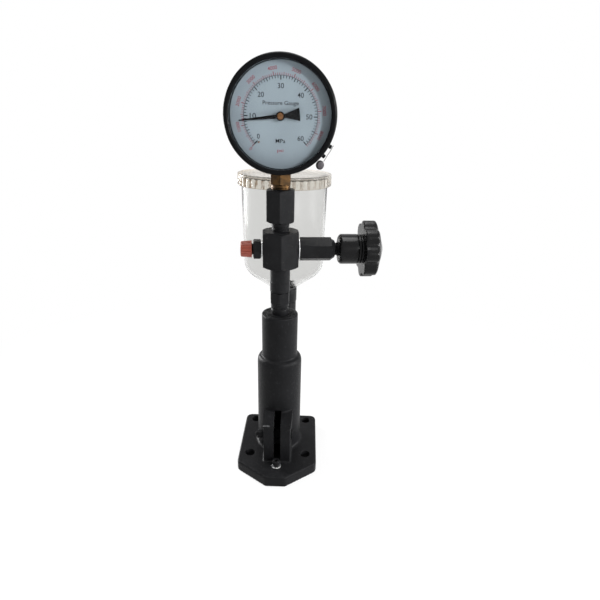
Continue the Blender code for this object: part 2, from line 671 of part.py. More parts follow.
def build_pump(steel, bright, spring_look):
    """Tappet, plunger, spring and its plate, barrel, and the delivery valve above the barrel."""
    dip = SWING / 2
    tappet_low = PIVOT_Z - NOSE_REACH * math.sin(dip) + NOSE_R + GAP
    floor = tappet_low + TAPPET_FLOOR
    inner_r = TAPPET_R - TAPPET_WALL
    top = tappet_low + TAPPET_HEIGHT
    finish(lathe("tappet", [
        (0, tappet_low), (TAPPET_R - 0.0008, tappet_low), (TAPPET_R, tappet_low + 0.0008),
        (TAPPET_R, top), (inner_r, top), (inner_r, floor), (0, floor),
    ]), steel)

    foot_low = floor + GAP
    foot_top = foot_low + FOOT_HEIGHT
    finish(lathe("plunger", [
        (0, foot_low), (FOOT_R, foot_low), (FOOT_R, foot_top), (PLUNGER_R, foot_top),
        (PLUNGER_R, PLUNGER_TOP), (0, PLUNGER_TOP),
    ], SMALL), bright)
    plate_low = foot_top + GAP
    plate_top = plate_low + PLATE_SEAT_THICK
    finish(lathe("spring_plate", [
        (PLUNGER_R + GAP, plate_low), (inner_r - GAP, plate_low), (inner_r - GAP, plate_top),
        (PLUNGER_R + GAP, plate_top),
    ], SMALL), steel)
    finish(coil("plunger_spring", SPRING_MEAN_R, SPRING_WIRE_R, plate_top + GAP, BARREL_STEP,
                SPRING_TURNS), spring_look)

    barrel_low = BARREL_STEP + GAP
    flange_top = barrel_low + BARREL_FLANGE
    barrel = lathe("pump_barrel", [
        (PLUNGER_R + GAP, barrel_low), (BARREL_BORE_R - GAP, barrel_low), (BARREL_BORE_R - GAP, flange_top),
        (BARREL_R, flange_top + 0.001), (BARREL_R, BARREL_TOP), (PLUNGER_R + GAP, BARREL_TOP),
    ])
    for axis in ("X", "Y"):
        cut(barrel, rod("feed_drilling", 0.0015, -BARREL_R - CUT, BARREL_R + CUT, 8, axis,
                        (0, 0, PLUNGER_TOP + 0.0030)))
    finish(barrel, steel)

    seat_low = BARREL_TOP + GAP
    seat_top = seat_low + SEAT_HEIGHT
    finish(lathe("delivery_seat", [
        (SEAT_BORE_R, seat_low), (BARREL_BORE_R - GAP, seat_low), (BARREL_BORE_R - GAP, seat_top),
        (VALVE_HEAD_R, seat_top), (SEAT_BORE_R, seat_top - 0.0015),
    ]), steel)
    head_low = seat_top + GAP
    head_top = head_low + VALVE_HEAD
    guide_top = head_top + 0.0040
    finish(lathe("delivery_valve", [
        (0, seat_low + 0.0010), (SEAT_BORE_R - GAP, seat_low + 0.0010), (SEAT_BORE_R - GAP, seat_top - 0.0015 + GAP),
        (VALVE_HEAD_R, head_low), (VALVE_HEAD_R, head_top), (DELIVERY_MEAN_R - 0.0010, head_top),
        (DELIVERY_MEAN_R - 0.0012, guide_top), (0, guide_top),
    ], TINY), bright)
    chamber_top = seat_top + CHAMBER_HEIGHT
    finish(coil("delivery_spring", DELIVERY_MEAN_R, DELIVERY_WIRE_R, head_top + GAP, chamber_top - GAP,
                DELIVERY_TURNS, 8), spring_look)
    return seat_top, chamber_top


def build_riser(steel, seat_top, chamber_top):
    """The outlet fitting that clamps the barrel, and the tube that carries the manifold."""
    plug_top = COLUMN_TOP + PLUG_PROUD
    spigot_top = HOLDER_HEX_HIGH + HOLDER_SPIGOT
    holder = hex_bar("outlet_fitting", HOLDER_HEX_AF, HOLDER_HEX_LOW, HOLDER_HEX_HIGH,
                     turned_r=HOLDER_HEX_AF / 2 - HEX_TURNING)
    plug = lathe("plug", [
        (0, seat_top + GAP), (BARREL_BORE_R - GAP, seat_top + GAP), (BARREL_BORE_R - GAP, plug_top - 0.0005),
        (BARREL_BORE_R - 0.0008, plug_top), (NECK_R, plug_top), (NECK_R, HOLDER_HEX_LOW + BITE),
        (0, HOLDER_HEX_LOW + BITE),
    ])
    spigot = rod("spigot", HOLDER_SPIGOT_R, HOLDER_HEX_HIGH - BITE, spigot_top, SMALL)
    join(holder, plug, spigot)
    cut(holder, lathe("drilling", [
        (0, seat_top), (VALVE_CHAMBER_R, seat_top), (VALVE_CHAMBER_R, chamber_top),
        (FEED_BORE_R, chamber_top), (FEED_BORE_R, spigot_top + CUT), (0, spigot_top + CUT),
    ], TINY))
    finish(holder, steel)

    low = HOLDER_HEX_HIGH + GAP
    shoulder = MANIFOLD_LOW - GAP
    riser_top = MANIFOLD_LOW + RISER_SPIGOT
    finish(lathe("riser_tube", [
        (HOLDER_SPIGOT_R + GAP, low), (RISER_R, low), (RISER_R, shoulder), (RISER_SPIGOT_R, shoulder),
        (RISER_SPIGOT_R, riser_top), (FEED_BORE_R, riser_top), (FEED_BORE_R, spigot_top + GAP),
        (HOLDER_SPIGOT_R + GAP, spigot_top + GAP),
    ]), steel)


def build_manifold(steel):
    """The hexagon block that joins the pump, the gauge, the outlet and the valve."""
    block_body = hex_bar("manifold", MANIFOLD_AF, MANIFOLD_LOW, MANIFOLD_HIGH, turned_r=MANIFOLD_TURNED_R)
    low_socket = MANIFOLD_LOW + RISER_SPIGOT + GAP
    high_socket = MANIFOLD_HIGH - ADAPTER_THREAD - GAP
    cut(block_body, lathe("vertical_drilling", [
        (0, MANIFOLD_LOW - CUT), (RISER_SPIGOT_R + GAP, MANIFOLD_LOW - CUT), (RISER_SPIGOT_R + GAP, low_socket),
        (PORT_BORE_R, low_socket), (PORT_BORE_R, high_socket), (ADAPTER_THREAD_R + GAP, high_socket),
        (ADAPTER_THREAD_R + GAP, MANIFOLD_HIGH + CUT), (0, MANIFOLD_HIGH + CUT),
    ], SMALL))
    for axis, thread_r in (("X", VALVE_THREAD_R), ("-X", OUTLET_THREAD_R)):
        cut(block_body, lathe("side_drilling", [
            (0, 0), (PORT_BORE_R * 0.8, 0), (PORT_BORE_R * 0.8, PORT_SHOULDER - GAP),
            (thread_r + GAP, PORT_SHOULDER - GAP), (thread_r + GAP, MANIFOLD_AF / 2 + CUT),
            (0, MANIFOLD_AF / 2 + CUT),
        ], SMALL, axis, (0, 0, PORT_Z)))
    finish(block_body, steel)


def build_outlet(steel, washer_look, cap_look):
    """The threaded outlet for the injector pipe, its washer and its push-on cap."""
    port = (0, 0, PORT_Z)
    face = MANIFOLD_AF / 2 + GAP
    finish(lathe("outlet_washer", [
        (OUTLET_THREAD_R + GAP, face), (OUTLET_WASHER_R, face), (OUTLET_WASHER_R, face + SIDE_WASHER),
        (OUTLET_THREAD_R + GAP, face + SIDE_WASHER),
    ], MIDDLE, "-X", port), washer_look)
    hex_low = face + SIDE_WASHER + GAP
    nipple = hex_bar("outlet_nipple", OUTLET_HEX_AF, hex_low, hex_low + OUTLET_HEX, "-X", port,
                     turned_r=OUTLET_HEX_AF / 2 - HEX_TURNING)
    join(nipple, rod("inner_thread", OUTLET_THREAD_R, PORT_SHOULDER, hex_low + BITE, SMALL, "-X", port))
    join(nipple, lathe("outer_thread", [
        (0, hex_low + OUTLET_HEX - BITE), (OUTLET_THREAD_R, hex_low + OUTLET_HEX - BITE),
        (OUTLET_THREAD_R, OUTLET_CONE), (OUTLET_TIP_R, OUTLET_END), (0, OUTLET_END),
    ], SMALL, "-X", port))
    cut(nipple, rod("nipple_drilling", 0.0015, PORT_SHOULDER - CUT, OUTLET_END + CUT, 8, "-X", port))
    finish(nipple, steel)

    inner_r = OUTLET_THREAD_R + GAP
    ledge = OUTLET_CONE + GAP
    bottom = OUTLET_END + 0.0004
    cap = lathe("outlet_cap", [
        (0, CAP_OUTER_END), (CAP_NARROW_R - 0.0006, CAP_OUTER_END), (CAP_NARROW_R, CAP_OUTER_END - 0.0006),
        (CAP_WIDE_R, CAP_INNER_END), (inner_r, CAP_INNER_END), (inner_r, ledge),
        (OUTLET_TIP_R + GAP, bottom), (0, bottom),
    ], 2 * CAP_RIBS, "-X", port)
    for vert in cap.data.vertices:
        offset = Vector((0, vert.co.y, vert.co.z - PORT_Z))
        if offset.length > inner_r + 0.0002:
            turn = math.atan2(offset.z, offset.y) * CAP_RIBS / math.tau
            if round(turn * 2) % 2:
                vert.co.y *= 0.95
                vert.co.z = PORT_Z + offset.z * 0.95
    finish(cap, cap_look, (-CAP_INNER_END, 0, PORT_Z))


def build_valve(steel, bright, washer_look, plastic):
    """The shut-off valve: hexagon body, swivelling needle, threaded spindle and star knob."""
    port = (0, 0, PORT_Z)
    face = MANIFOLD_AF / 2 + GAP
    finish(lathe("valve_washer", [
        (VALVE_THREAD_R + GAP, face), (VALVE_WASHER_R, face), (VALVE_WASHER_R, face + SIDE_WASHER),
        (VALVE_THREAD_R + GAP, face + SIDE_WASHER),
    ], MIDDLE, "X", port), washer_look)
    hex_low = face + SIDE_WASHER + GAP
    body = hex_bar("valve_body", VALVE_HEX_AF, hex_low, VALVE_HEX_END, "X", port, VALVE_HEX_TURN,
                   VALVE_HEX_AF / 2 - HEX_TURNING)
    join(body, rod("valve_thread", VALVE_THREAD_R, PORT_SHOULDER, hex_low + BITE, SMALL, "X", port))
    join(body, lathe("valve_nose", [
        (0, VALVE_HEX_END - BITE), (VALVE_HEX_AF / 2 - 0.0004, VALVE_HEX_END - BITE),
        (VALVE_END_R, VALVE_END), (0, VALVE_END),
    ], MIDDLE, "X", port))
    cut(body, lathe("valve_drilling", [
        (0, PORT_SHOULDER - CUT), (PORT_BORE_R * 0.8, PORT_SHOULDER - CUT), (PORT_BORE_R * 0.8, VALVE_SEAT_X),
        (NEEDLE_CHAMBER_R, VALVE_SEAT_X + 0.0030), (NEEDLE_CHAMBER_R, SPINDLE_BORE_X),
        (SPINDLE_R + GAP, SPINDLE_BORE_X), (SPINDLE_R + GAP, VALVE_END + CUT), (0, VALVE_END + CUT),
    ], SMALL, "X", port))
    finish(body, steel)

    needle_low = VALVE_SEAT_X + GAP
    needle_high = needle_low + NEEDLE_LENGTH
    tongue_r = SPINDLE_TONGUE_R
    finish(lathe("valve_needle", [
        (0, needle_low - 0.0010), (NEEDLE_POINT_R, needle_low), (NEEDLE_R, needle_low + 0.0045),
        (NEEDLE_R, needle_high), (tongue_r + GAP, needle_high), (tongue_r + GAP, needle_high - SPINDLE_TONGUE - GAP),
        (0, needle_high - SPINDLE_TONGUE - GAP),
    ], TINY, "X", port), bright, (needle_low, 0, PORT_Z))
    shoulder = max(needle_high + GAP, SPINDLE_BORE_X + GAP)
    ring_high = HUB_START - GAP
    ring_low = ring_high - SPINDLE_RING
    finish(lathe("valve_spindle", [
        (0, needle_high - SPINDLE_TONGUE), (tongue_r, needle_high - SPINDLE_TONGUE), (tongue_r, shoulder),
        (SPINDLE_R, shoulder), (SPINDLE_R, ring_low), (SPINDLE_RING_R, ring_low), (SPINDLE_RING_R, ring_high),
        (SPINDLE_R, ring_high), (SPINDLE_R, SPINDLE_END), (0, SPINDLE_END),
    ], SMALL, "X", port), steel, (needle_high, 0, PORT_Z))
    build_knob(plastic)


def build_knob(plastic):
    """The star knob, lofted ring by ring from its bore, over the hub and the lobes to its apex."""
    bore_r = SPINDLE_R + GAP
    rings = [
        (SPINDLE_END + GAP, bore_r, 0), (HUB_START, bore_r, 0), (HUB_START, HUB_R - HUB_CHAMFER * 0.8, 0),
        (HUB_START + HUB_CHAMFER, HUB_R, 0), (STAR_BACK, HUB_R, 0),
        (STAR_BACK, STAR_R - 0.0012, 1), (STAR_BACK + 0.0012, STAR_R, 1),
        (STAR_RIM_END - 0.0010, STAR_R - 0.0006, 1), (STAR_FRONT - 0.0010, STAR_R - 0.0035, 0.8),
        (STAR_FRONT + 0.0020, STAR_R * 0.55, 0.2),
    ]
    steps = STAR_LOBES * 6
    mesh = bmesh.new()
    loops = []
    for x, radius, share in rings:
        loop = []
        for step in range(steps):
            angle = math.tau * step / steps
            lobe = (1 - math.cos(STAR_LOBES * angle)) / 2
            reach = radius - STAR_VALLEY * share * (1 - lobe ** 0.7)
            loop.append(mesh.verts.new((reach * math.cos(angle), reach * math.sin(angle), x)))
        loops.append(loop)
    for near, far in zip(loops, loops[1:]):
        for step in range(steps):
            ahead = (step + 1) % steps
            mesh.faces.new((near[step], near[ahead], far[ahead], far[step]))
    for loop, x in ((loops[0], SPINDLE_END + GAP), (loops[-1], STAR_APEX)):
        centre = mesh.verts.new((0, 0, x))
        for step in range(steps):
            mesh.faces.new((loop[step], loop[(step + 1) % steps], centre))
    knob = object_of("star_knob", mesh, "X", (0, 0, PORT_Z))
    finish(knob, plastic, (HUB_START, 0, PORT_Z))


def build_adapter(steel, washer_look, brass):
    """The hexagon adapter on the manifold, the gauge's washer and its brass stem."""
    adapter = hex_bar("gauge_adapter", ADAPTER_AF, ADAPTER_LOW, ADAPTER_HIGH, turned_r=ADAPTER_TURNED_R)
    join(adapter, lathe("adapter_thread", [
        (0, MANIFOLD_HIGH - ADAPTER_THREAD), (ADAPTER_THREAD_R, MANIFOLD_HIGH - ADAPTER_THREAD),
        (ADAPTER_THREAD_R, MANIFOLD_HIGH + GAP), (ADAPTER_NECK_R, MANIFOLD_HIGH + GAP),
        (ADAPTER_NECK_R, ADAPTER_LOW + BITE), (0, ADAPTER_LOW + BITE),
    ]))
    socket_floor = ADAPTER_HIGH - STEM_THREAD - 2 * GAP
    cut(adapter, lathe("adapter_drilling", [
        (0, MANIFOLD_HIGH - ADAPTER_THREAD - CUT), (FEED_BORE_R, MANIFOLD_HIGH - ADAPTER_THREAD - CUT),
        (FEED_BORE_R, socket_floor), (STEM_THREAD_R + GAP, socket_floor),
        (STEM_THREAD_R + GAP, ADAPTER_HIGH + CUT), (0, ADAPTER_HIGH + CUT),
    ], SMALL))
    finish(adapter, steel)

    washer_low = ADAPTER_HIGH + GAP
    washer_high = washer_low + GAUGE_WASHER
    finish(lathe("gauge_washer", [
        (STEM_THREAD_R + GAP, washer_low), (STEM_COLLAR_R, washer_low), (STEM_COLLAR_R, washer_high),
        (STEM_THREAD_R + GAP, washer_high),
    ]), washer_look)

    collar_low = washer_high + GAP
    collar_high = collar_low + STEM_COLLAR
    hex_top = GAUGE_Z - BEZEL_R - GAP
    block_low = GAUGE_Z - CASE_R + CASE_WALL + 2 * GAP
    stem = hex_bar("gauge_stem", STEM_HEX_AF, collar_high - BITE, hex_top)
    join(stem, lathe("stem_collar", [
        (0, ADAPTER_HIGH - STEM_THREAD), (STEM_THREAD_R, ADAPTER_HIGH - STEM_THREAD), (STEM_THREAD_R, collar_low),
        (STEM_COLLAR_R, collar_low), (STEM_COLLAR_R, collar_high), (0, collar_high),
    ]))
    reach = STEM_BLOCK
    join(stem, rod("stem_neck", STEM_NECK_R, hex_top - BITE, block_low + BITE))
    join(stem, block("stem_block", (-reach, -reach, block_low), (reach, reach, STEM_BLOCK_TOP)))
    post_top = GAUGE_Z + MOVEMENT_LOW - GAP
    join(stem, block("stem_post", (-reach * 0.7, -reach * 0.7, STEM_BLOCK_TOP - BITE),
                     (reach * 0.7, reach * 0.7, post_top)))
    cut(stem, rod("stem_drilling", FEED_BORE_R, ADAPTER_HIGH - STEM_THREAD - CUT, STEM_BLOCK_TOP - 0.004, 8))
    finish(stem, brass)


def build_gauge(black, glass, dial_look, pointer_look, brass):
    """Case, bezel, window, dial, pointer, and the curved tube and movement behind the dial."""
    centre = (0, 0, GAUGE_Z)
    lip_rear = GAUGE_FRONT + BEZEL_LIP
    window_rear = lip_rear + GAP + WINDOW_THICK
    case_front = window_rear + GAP
    case = build_case(case_front, centre)
    cut(case, rod("stem_hole", STEM_NECK_R + GAP, GAUGE_Z - CASE_R - CUT, STEM_BLOCK_TOP))
    finish(case, black)

    bezel = [
        (BEZEL_LIP_R, lip_rear), (BEZEL_LIP_R + 0.0006, GAUGE_FRONT),
        *[(BEZEL_R - BEZEL_ROUND + x, GAUGE_FRONT + BEZEL_ROUND - y)
          for x, y in arc((0, 0), BEZEL_ROUND, math.pi / 2, 0, 3)],
        (BEZEL_R, BEZEL_SKIRT_END), (CASE_R + GAP, BEZEL_SKIRT_END), (CASE_R + GAP, lip_rear),
    ]
    finish(lathe("bezel_ring", bezel, BIG, "Y", centre), black)
    finish(rod("gauge_window", CASE_R, lip_rear + GAP, window_rear, BIG, "Y", centre), glass)

    dial = rod("dial_plate", CASE_R - CASE_WALL - GAP, DIAL_Y, DIAL_Y + DIAL_THICK, BIG, "Y", centre)
    cut(dial, rod("dial_hole", ARBOR_HOLE_R, DIAL_Y - CUT, DIAL_Y + DIAL_THICK + CUT, TINY, "Y", centre))
    pin_at = around_gauge(STOP_PIN_RADIUS, STOP_PIN_ANGLE, 0)
    cut(dial, rod("stop_pin_hole", STOP_PIN_R + GAP, DIAL_Y - CUT, DIAL_Y + DIAL_THICK + CUT, 8, "Y", pin_at))
    finish(dial, dial_look)
    finish(rod("stop_pin", STOP_PIN_R, POINTER_Y - 0.0003, DIAL_Y + DIAL_THICK, 8, "Y", pin_at), brass)
    build_pointer(pointer_look, brass)
    build_movement(brass)


def build_case(case_front, centre):
    """The round can behind the bezel, closed at the rear."""
    inner_r = CASE_R - CASE_WALL
    corner = (CASE_R - CASE_ROUND, CASE_REAR - CASE_ROUND)
    outer = arc(corner, CASE_ROUND, 0, math.pi / 2, 3)
    inner = arc(corner, CASE_ROUND - CASE_WALL, math.pi / 2, 0, 1)
    profile = [(0, CASE_REAR - CASE_WALL), *inner, (inner_r, case_front), (CASE_R, case_front), *outer,
               (0, CASE_REAR)]
    return lathe("gauge_case", profile, BIG, "Y", centre)


def build_pointer(pointer_look, brass):
    """The needle with its flared tail, and the slotted brass disc and arbor that carry it."""
    outline = [
        (POINTER_REACH, 0.0003), (POINTER_REACH * 0.15, 0.0011),
        *arc((0, 0), POINTER_HUB_R, math.radians(25), math.radians(155), 6),
        (-POINTER_TAIL * 0.62, 0.0020), (-POINTER_TAIL * 0.98, POINTER_TAIL_HALF),
        (-POINTER_TAIL, POINTER_TAIL_HALF * 0.5),
    ]
    outline += [(x, -y) for x, y in reversed(outline)]
    pointer = extrude("pointer", outline, 0, POINTER_THICK)
    shown = SCALE_ZERO + (SCALE_FULL - SCALE_ZERO) * SHOWN_PRESSURE / FULL_PRESSURE
    upright = Matrix(((1, 0, 0, 0), (0, 0, 1, 0), (0, 1, 0, 0), (0, 0, 0, 1)))
    pointer.data.transform(Matrix.Translation((0, POINTER_Y, GAUGE_Z)) @ upright @ Matrix.Rotation(shown, 4, "Z"))
    pointer.data.flip_normals()
    centre = (0, 0, GAUGE_Z)
    cut(pointer, rod("arbor_hole", ARBOR_R + GAP, POINTER_Y - CUT, POINTER_Y + POINTER_THICK + CUT, 12, "Y", centre))
    axis_point = (0, POINTER_Y, GAUGE_Z)
    finish(pointer, pointer_look, axis_point)

    disc_rear = POINTER_Y - GAP
    disc = lathe("pointer_arbor", [
        (0, disc_rear - HUB_DISC), (HUB_DISC_R - 0.0003, disc_rear - HUB_DISC), (HUB_DISC_R, disc_rear - HUB_DISC / 2),
        (HUB_DISC_R, disc_rear), (ARBOR_R, disc_rear), (ARBOR_R, ARBOR_END), (0, ARBOR_END),
    ], SMALL, "Y", centre)
    half = HUB_SLOT / 2
    cut(disc, block("screwdriver_slot", (-half, disc_rear - HUB_DISC - CUT, GAUGE_Z - HUB_DISC_R - CUT),
                    (half, disc_rear - HUB_DISC * 0.6, GAUGE_Z + HUB_DISC_R + CUT)))
    finish(disc, brass, axis_point)


def build_movement(brass):
    """The curved pressure tube, its link, and the frame that carries the arbor."""
    front = DIAL_Y + DIAL_THICK + GAP
    half = MOVEMENT_HALF
    low, high = GAUGE_Z + MOVEMENT_LOW, GAUGE_Z + MOVEMENT_HIGH
    frame = block("movement_frame", (-half, front, low), (half, front + MOVEMENT_PLATE, high))
    rear = block("rear_plate", (-half, MOVEMENT_REAR, low), (half, MOVEMENT_REAR + MOVEMENT_PLATE, high))
    pillars = []
    for x in (-half * 0.7, half * 0.7):
        for z in (low + half * 0.3, high - half * 0.3):
            pillars.append(rod("pillar", 0.0018, front + BITE, MOVEMENT_REAR + BITE, 8, "Y", (x, 0, z)))
    join(frame, *pillars, rear)
    cut(frame, rod("arbor_bearing", ARBOR_R + GAP, front - CUT, front + MOVEMENT_PLATE + CUT, 12, "Y",
                   (0, 0, GAUGE_Z)))
    finish(frame, brass)

    middle = (front + MOVEMENT_REAR + MOVEMENT_PLATE) / 2
    half_wide, half_deep = BOURDON_WIDE / 2, BOURDON_DEEP / 2
    section = [(BOURDON_R + half_deep * math.cos(angle), middle + half_wide * math.sin(angle))
               for angle in [math.tau * step / 8 for step in range(8)]]
    mesh = bmesh.new()
    face = mesh.faces.new([mesh.verts.new((radius, y, 0)) for radius, y in section])
    bmesh.ops.rotate(mesh, verts=mesh.verts, cent=(0, 0, 0), matrix=Matrix.Rotation(-BOURDON_START, 3, "Y"))
    bmesh.ops.spin(mesh, geom=[face], cent=(0, 0, 0), axis=(0, -1, 0), angle=BOURDON_SWEEP, steps=20,
                   use_merge=False)
    finish(object_of("bourdon_tube", mesh, "Z", (0, 0, GAUGE_Z)), brass)

    tip = around_gauge(BOURDON_R - half_deep - GAP, BOURDON_START + BOURDON_SWEEP - math.radians(3), middle)
    finish(block("tip_link", (tip.x + 0.0003, middle - LINK_HALF, tip.z - LINK_HALF),
                 (-half - GAP, middle + LINK_HALF, tip.z + LINK_HALF)), brass)


def turn_about_column(names, angle):
    """Turn finished pieces about the column's axis."""
    turned = Matrix.Rotation(angle, 4, "Z")
    for name in names:
        piece = bpy.data.objects[name]
        piece.data.transform(turned)
        piece.location = turned @ piece.location


def build_seal(black, wire_look, lead):
    """Two drilled screws in the bezel, the wire through them and the lead seal on the wire."""
    reach = BEZEL_R + GAP
    for name, angle in zip(("seal_lug_upper", "seal_lug_lower"), LUG_ANGLES):
        foot = around_gauge(reach, angle, LUG_Y)
        lug = lathe(name, [(0, 0), (LUG_R, 0), (LUG_R, LUG_HEIGHT * 0.7), (LUG_R * 0.7, LUG_HEIGHT),
                           (0, LUG_HEIGHT)], TINY)
        lug.data.transform(Matrix.Translation(foot) @ Matrix.Rotation(math.pi / 2 - angle, 4, "Y"))
        finish(lug, black)
    seal_at = around_gauge(SEAL_REACH, SEAL_ANGLE, LUG_Y)
    half = SEAL_THICK / 2
    seal = lathe("lead_seal", [(0, -half), (SEAL_R * 0.8, -half), (SEAL_R, -half * 0.4), (SEAL_R, half * 0.4),
                               (SEAL_R * 0.8, half), (0, half)], SMALL)
    seal.data.transform(Matrix.Translation(seal_at) @ Matrix.Rotation(SEAL_TILT, 4, "Z")
                        @ Matrix.Rotation(math.pi / 2, 4, "X"))
    finish(seal, lead)

    wire_reach = reach + LUG_HEIGHT + SEAL_WIRE_R + GAP
    start = LUG_ANGLES[0] + math.radians(2.5)
    end = SEAL_ANGLE + (SEAL_R + GAP) / SEAL_REACH
    points = []
    for step in range(11):
        share = step / 10
        radius = wire_reach + (SEAL_REACH - wire_reach) * max(0, 2.5 * share - 1.5)
        points.append(around_gauge(radius, start + (end - start) * share, LUG_Y))
    finish(tube_along("seal_wire", points, SEAL_WIRE_R, 6), wire_look)


def build_cup(steel, plastic_clear, rubber, brass):
    """Fuel cup with its seat, feed stud, strainer, gasket, drain plug, lid and lid liner."""
    axis_point = (0, CUP_Y, 0)
    seat_top = CUP_FOOT_Z - GASKET_THICK - 2 * GAP
    socket_r = CUP_SPIGOT_R + GAP
    drain_floor = SEAT_LOW + DRAIN_THREAD + GAP
    seat = lathe("cup_seat", [
        (DRAIN_THREAD_R + GAP, SEAT_LOW), (SEAT_LOW_R - 0.0008, SEAT_LOW), (SEAT_LOW_R, SEAT_LOW + 0.0008),
        (SEAT_LOW_R, SEAT_GROOVE_Z - SEAT_GROOVE / 2), (SEAT_LOW_R - 0.0010, SEAT_GROOVE_Z),
        (SEAT_R, SEAT_GROOVE_Z + SEAT_GROOVE / 2), (SEAT_R, seat_top - 0.0005), (SEAT_R - 0.0005, seat_top),
        (socket_r, seat_top), (socket_r, SEAT_SOCKET_FLOOR), (SEAT_PASSAGE_R, SEAT_SOCKET_FLOOR),
        (SEAT_PASSAGE_R, drain_floor), (DRAIN_THREAD_R + GAP, drain_floor),
    ], MIDDLE, "Z", axis_point)
    pad_y = CUP_Y - SEAT_PAD
    cut(seat, rod("stud_pad", FEED_R + 0.0020, CUP_Y - SEAT_R - CUT, pad_y, SMALL, "Y", (0, 0, FEED_Z)))
    cut(seat, rod("stud_hole", FEED_SPIGOT_R + GAP, pad_y - CUT, CUP_Y - SEAT_PASSAGE_R * 0.5, SMALL, "Y",
                  (0, 0, FEED_Z)))
    finish(seat, steel)

    hex_front = FEED_PAD_Y + GAP
    stud = hex_bar("feed_stud", FEED_HEX_AF, hex_front, hex_front + FEED_HEX, "Y", (0, 0, FEED_Z), 0,
                   FEED_HEX_AF / 2 - HEX_TURNING)
    join(stud, rod("column_thread", FEED_SPIGOT_R, FEED_PAD_Y - FEED_THREAD, hex_front + BITE, SMALL, "Y",
                   (0, 0, FEED_Z)))
    join(stud, lathe("stud_tube", [
        (0, hex_front + FEED_HEX - BITE), (FEED_R, hex_front + FEED_HEX - BITE), (FEED_R, pad_y - GAP),
        (FEED_SPIGOT_R, pad_y - GAP), (FEED_SPIGOT_R, CUP_Y - SEAT_PASSAGE_R - 0.0006),
        (0, CUP_Y - SEAT_PASSAGE_R - 0.0006),
    ], SMALL, "Y", (0, 0, FEED_Z)))
    cut(stud, rod("stud_drilling", FEED_PASSAGE_R, 0, CUP_Y, 8, "Y", (0, 0, FEED_Z)))
    finish(stud, steel)

    plug_top = SEAT_LOW - GAP
    plug = hex_bar("drain_plug", DRAIN_PLUG_AF, plug_top - DRAIN_PLUG, plug_top, "Z", axis_point, 0,
                   DRAIN_PLUG_AF / 2 - HEX_TURNING)
    join(plug, rod("drain_thread", DRAIN_THREAD_R, plug_top - BITE, SEAT_LOW + DRAIN_THREAD, SMALL, "Z", axis_point))
    finish(plug, steel)

    finish(lathe("cup_gasket", [
        (socket_r, seat_top + GAP), (SEAT_R - 0.0004, seat_top + GAP),
        (SEAT_R - 0.0004, seat_top + GAP + GASKET_THICK), (socket_r, seat_top + GAP + GASKET_THICK),
    ], MIDDLE, "Z", axis_point), rubber)
    finish(lathe("strainer", [
        (CUP_OUTLET_R * 0.4, SEAT_SOCKET_FLOOR + GAP), (socket_r - 2 * GAP, SEAT_SOCKET_FLOOR + GAP),
        (socket_r - 2 * GAP, CUP_SPIGOT_LOW - GAP), (CUP_OUTLET_R * 0.4, CUP_SPIGOT_LOW - GAP),
    ], SMALL, "Z", axis_point), brass)
    build_cup_shell(plastic_clear, axis_point)
    build_lid(plastic_clear, rubber, axis_point)


def build_cup_shell(look, axis_point):
    """The clear cup: threaded spigot, conical floor with a rounded shoulder, and a slightly drafted wall."""
    slope = (CUP_CONE_Z - CUP_FOOT_Z) / (CUP_CONE_R - CUP_FOOT_R)
    corner_z = CUP_FOOT_Z + slope * (CUP_LOW_R - CUP_FOOT_R)
    cone_start, corner, wall_start = (CUP_CONE_R, CUP_CONE_Z), (CUP_LOW_R, corner_z), (CUP_LOW_R, CUP_LOW_Z)
    shoulder = []
    for step in range(5):
        t = step / 4
        shoulder.append(tuple((1 - t) ** 2 * a + 2 * t * (1 - t) * b + t ** 2 * c
                              for a, b, c in zip(cone_start, corner, wall_start)))
    outer = [(CUP_FOOT_R, CUP_FOOT_Z), *shoulder, (CUP_TOP_R, CUP_TOP_Z)]
    inner = []
    for index, point in enumerate(outer[1:], 1):
        before = Vector(outer[index - 1])
        after = Vector(outer[min(index + 1, len(outer) - 1)])
        along = (after - before).normalized()
        inner.append((point[0] - along.y * CUP_WALL, point[1] + along.x * CUP_WALL))
    inner[-1] = (CUP_TOP_R - CUP_WALL, CUP_TOP_Z)
    floor_z = CUP_FOOT_Z + CUP_WALL
    profile = [
        (CUP_OUTLET_R, CUP_SPIGOT_LOW), (CUP_SPIGOT_R, CUP_SPIGOT_LOW), (CUP_SPIGOT_R, CUP_FOOT_Z), *outer,
        *reversed(inner), (CUP_FOOT_R - CUP_WALL * 0.4, floor_z), (CUP_OUTLET_R, floor_z - CUP_WALL * 0.5),
    ]
    finish(lathe("cup_body", profile, BIG, "Z", axis_point), look)


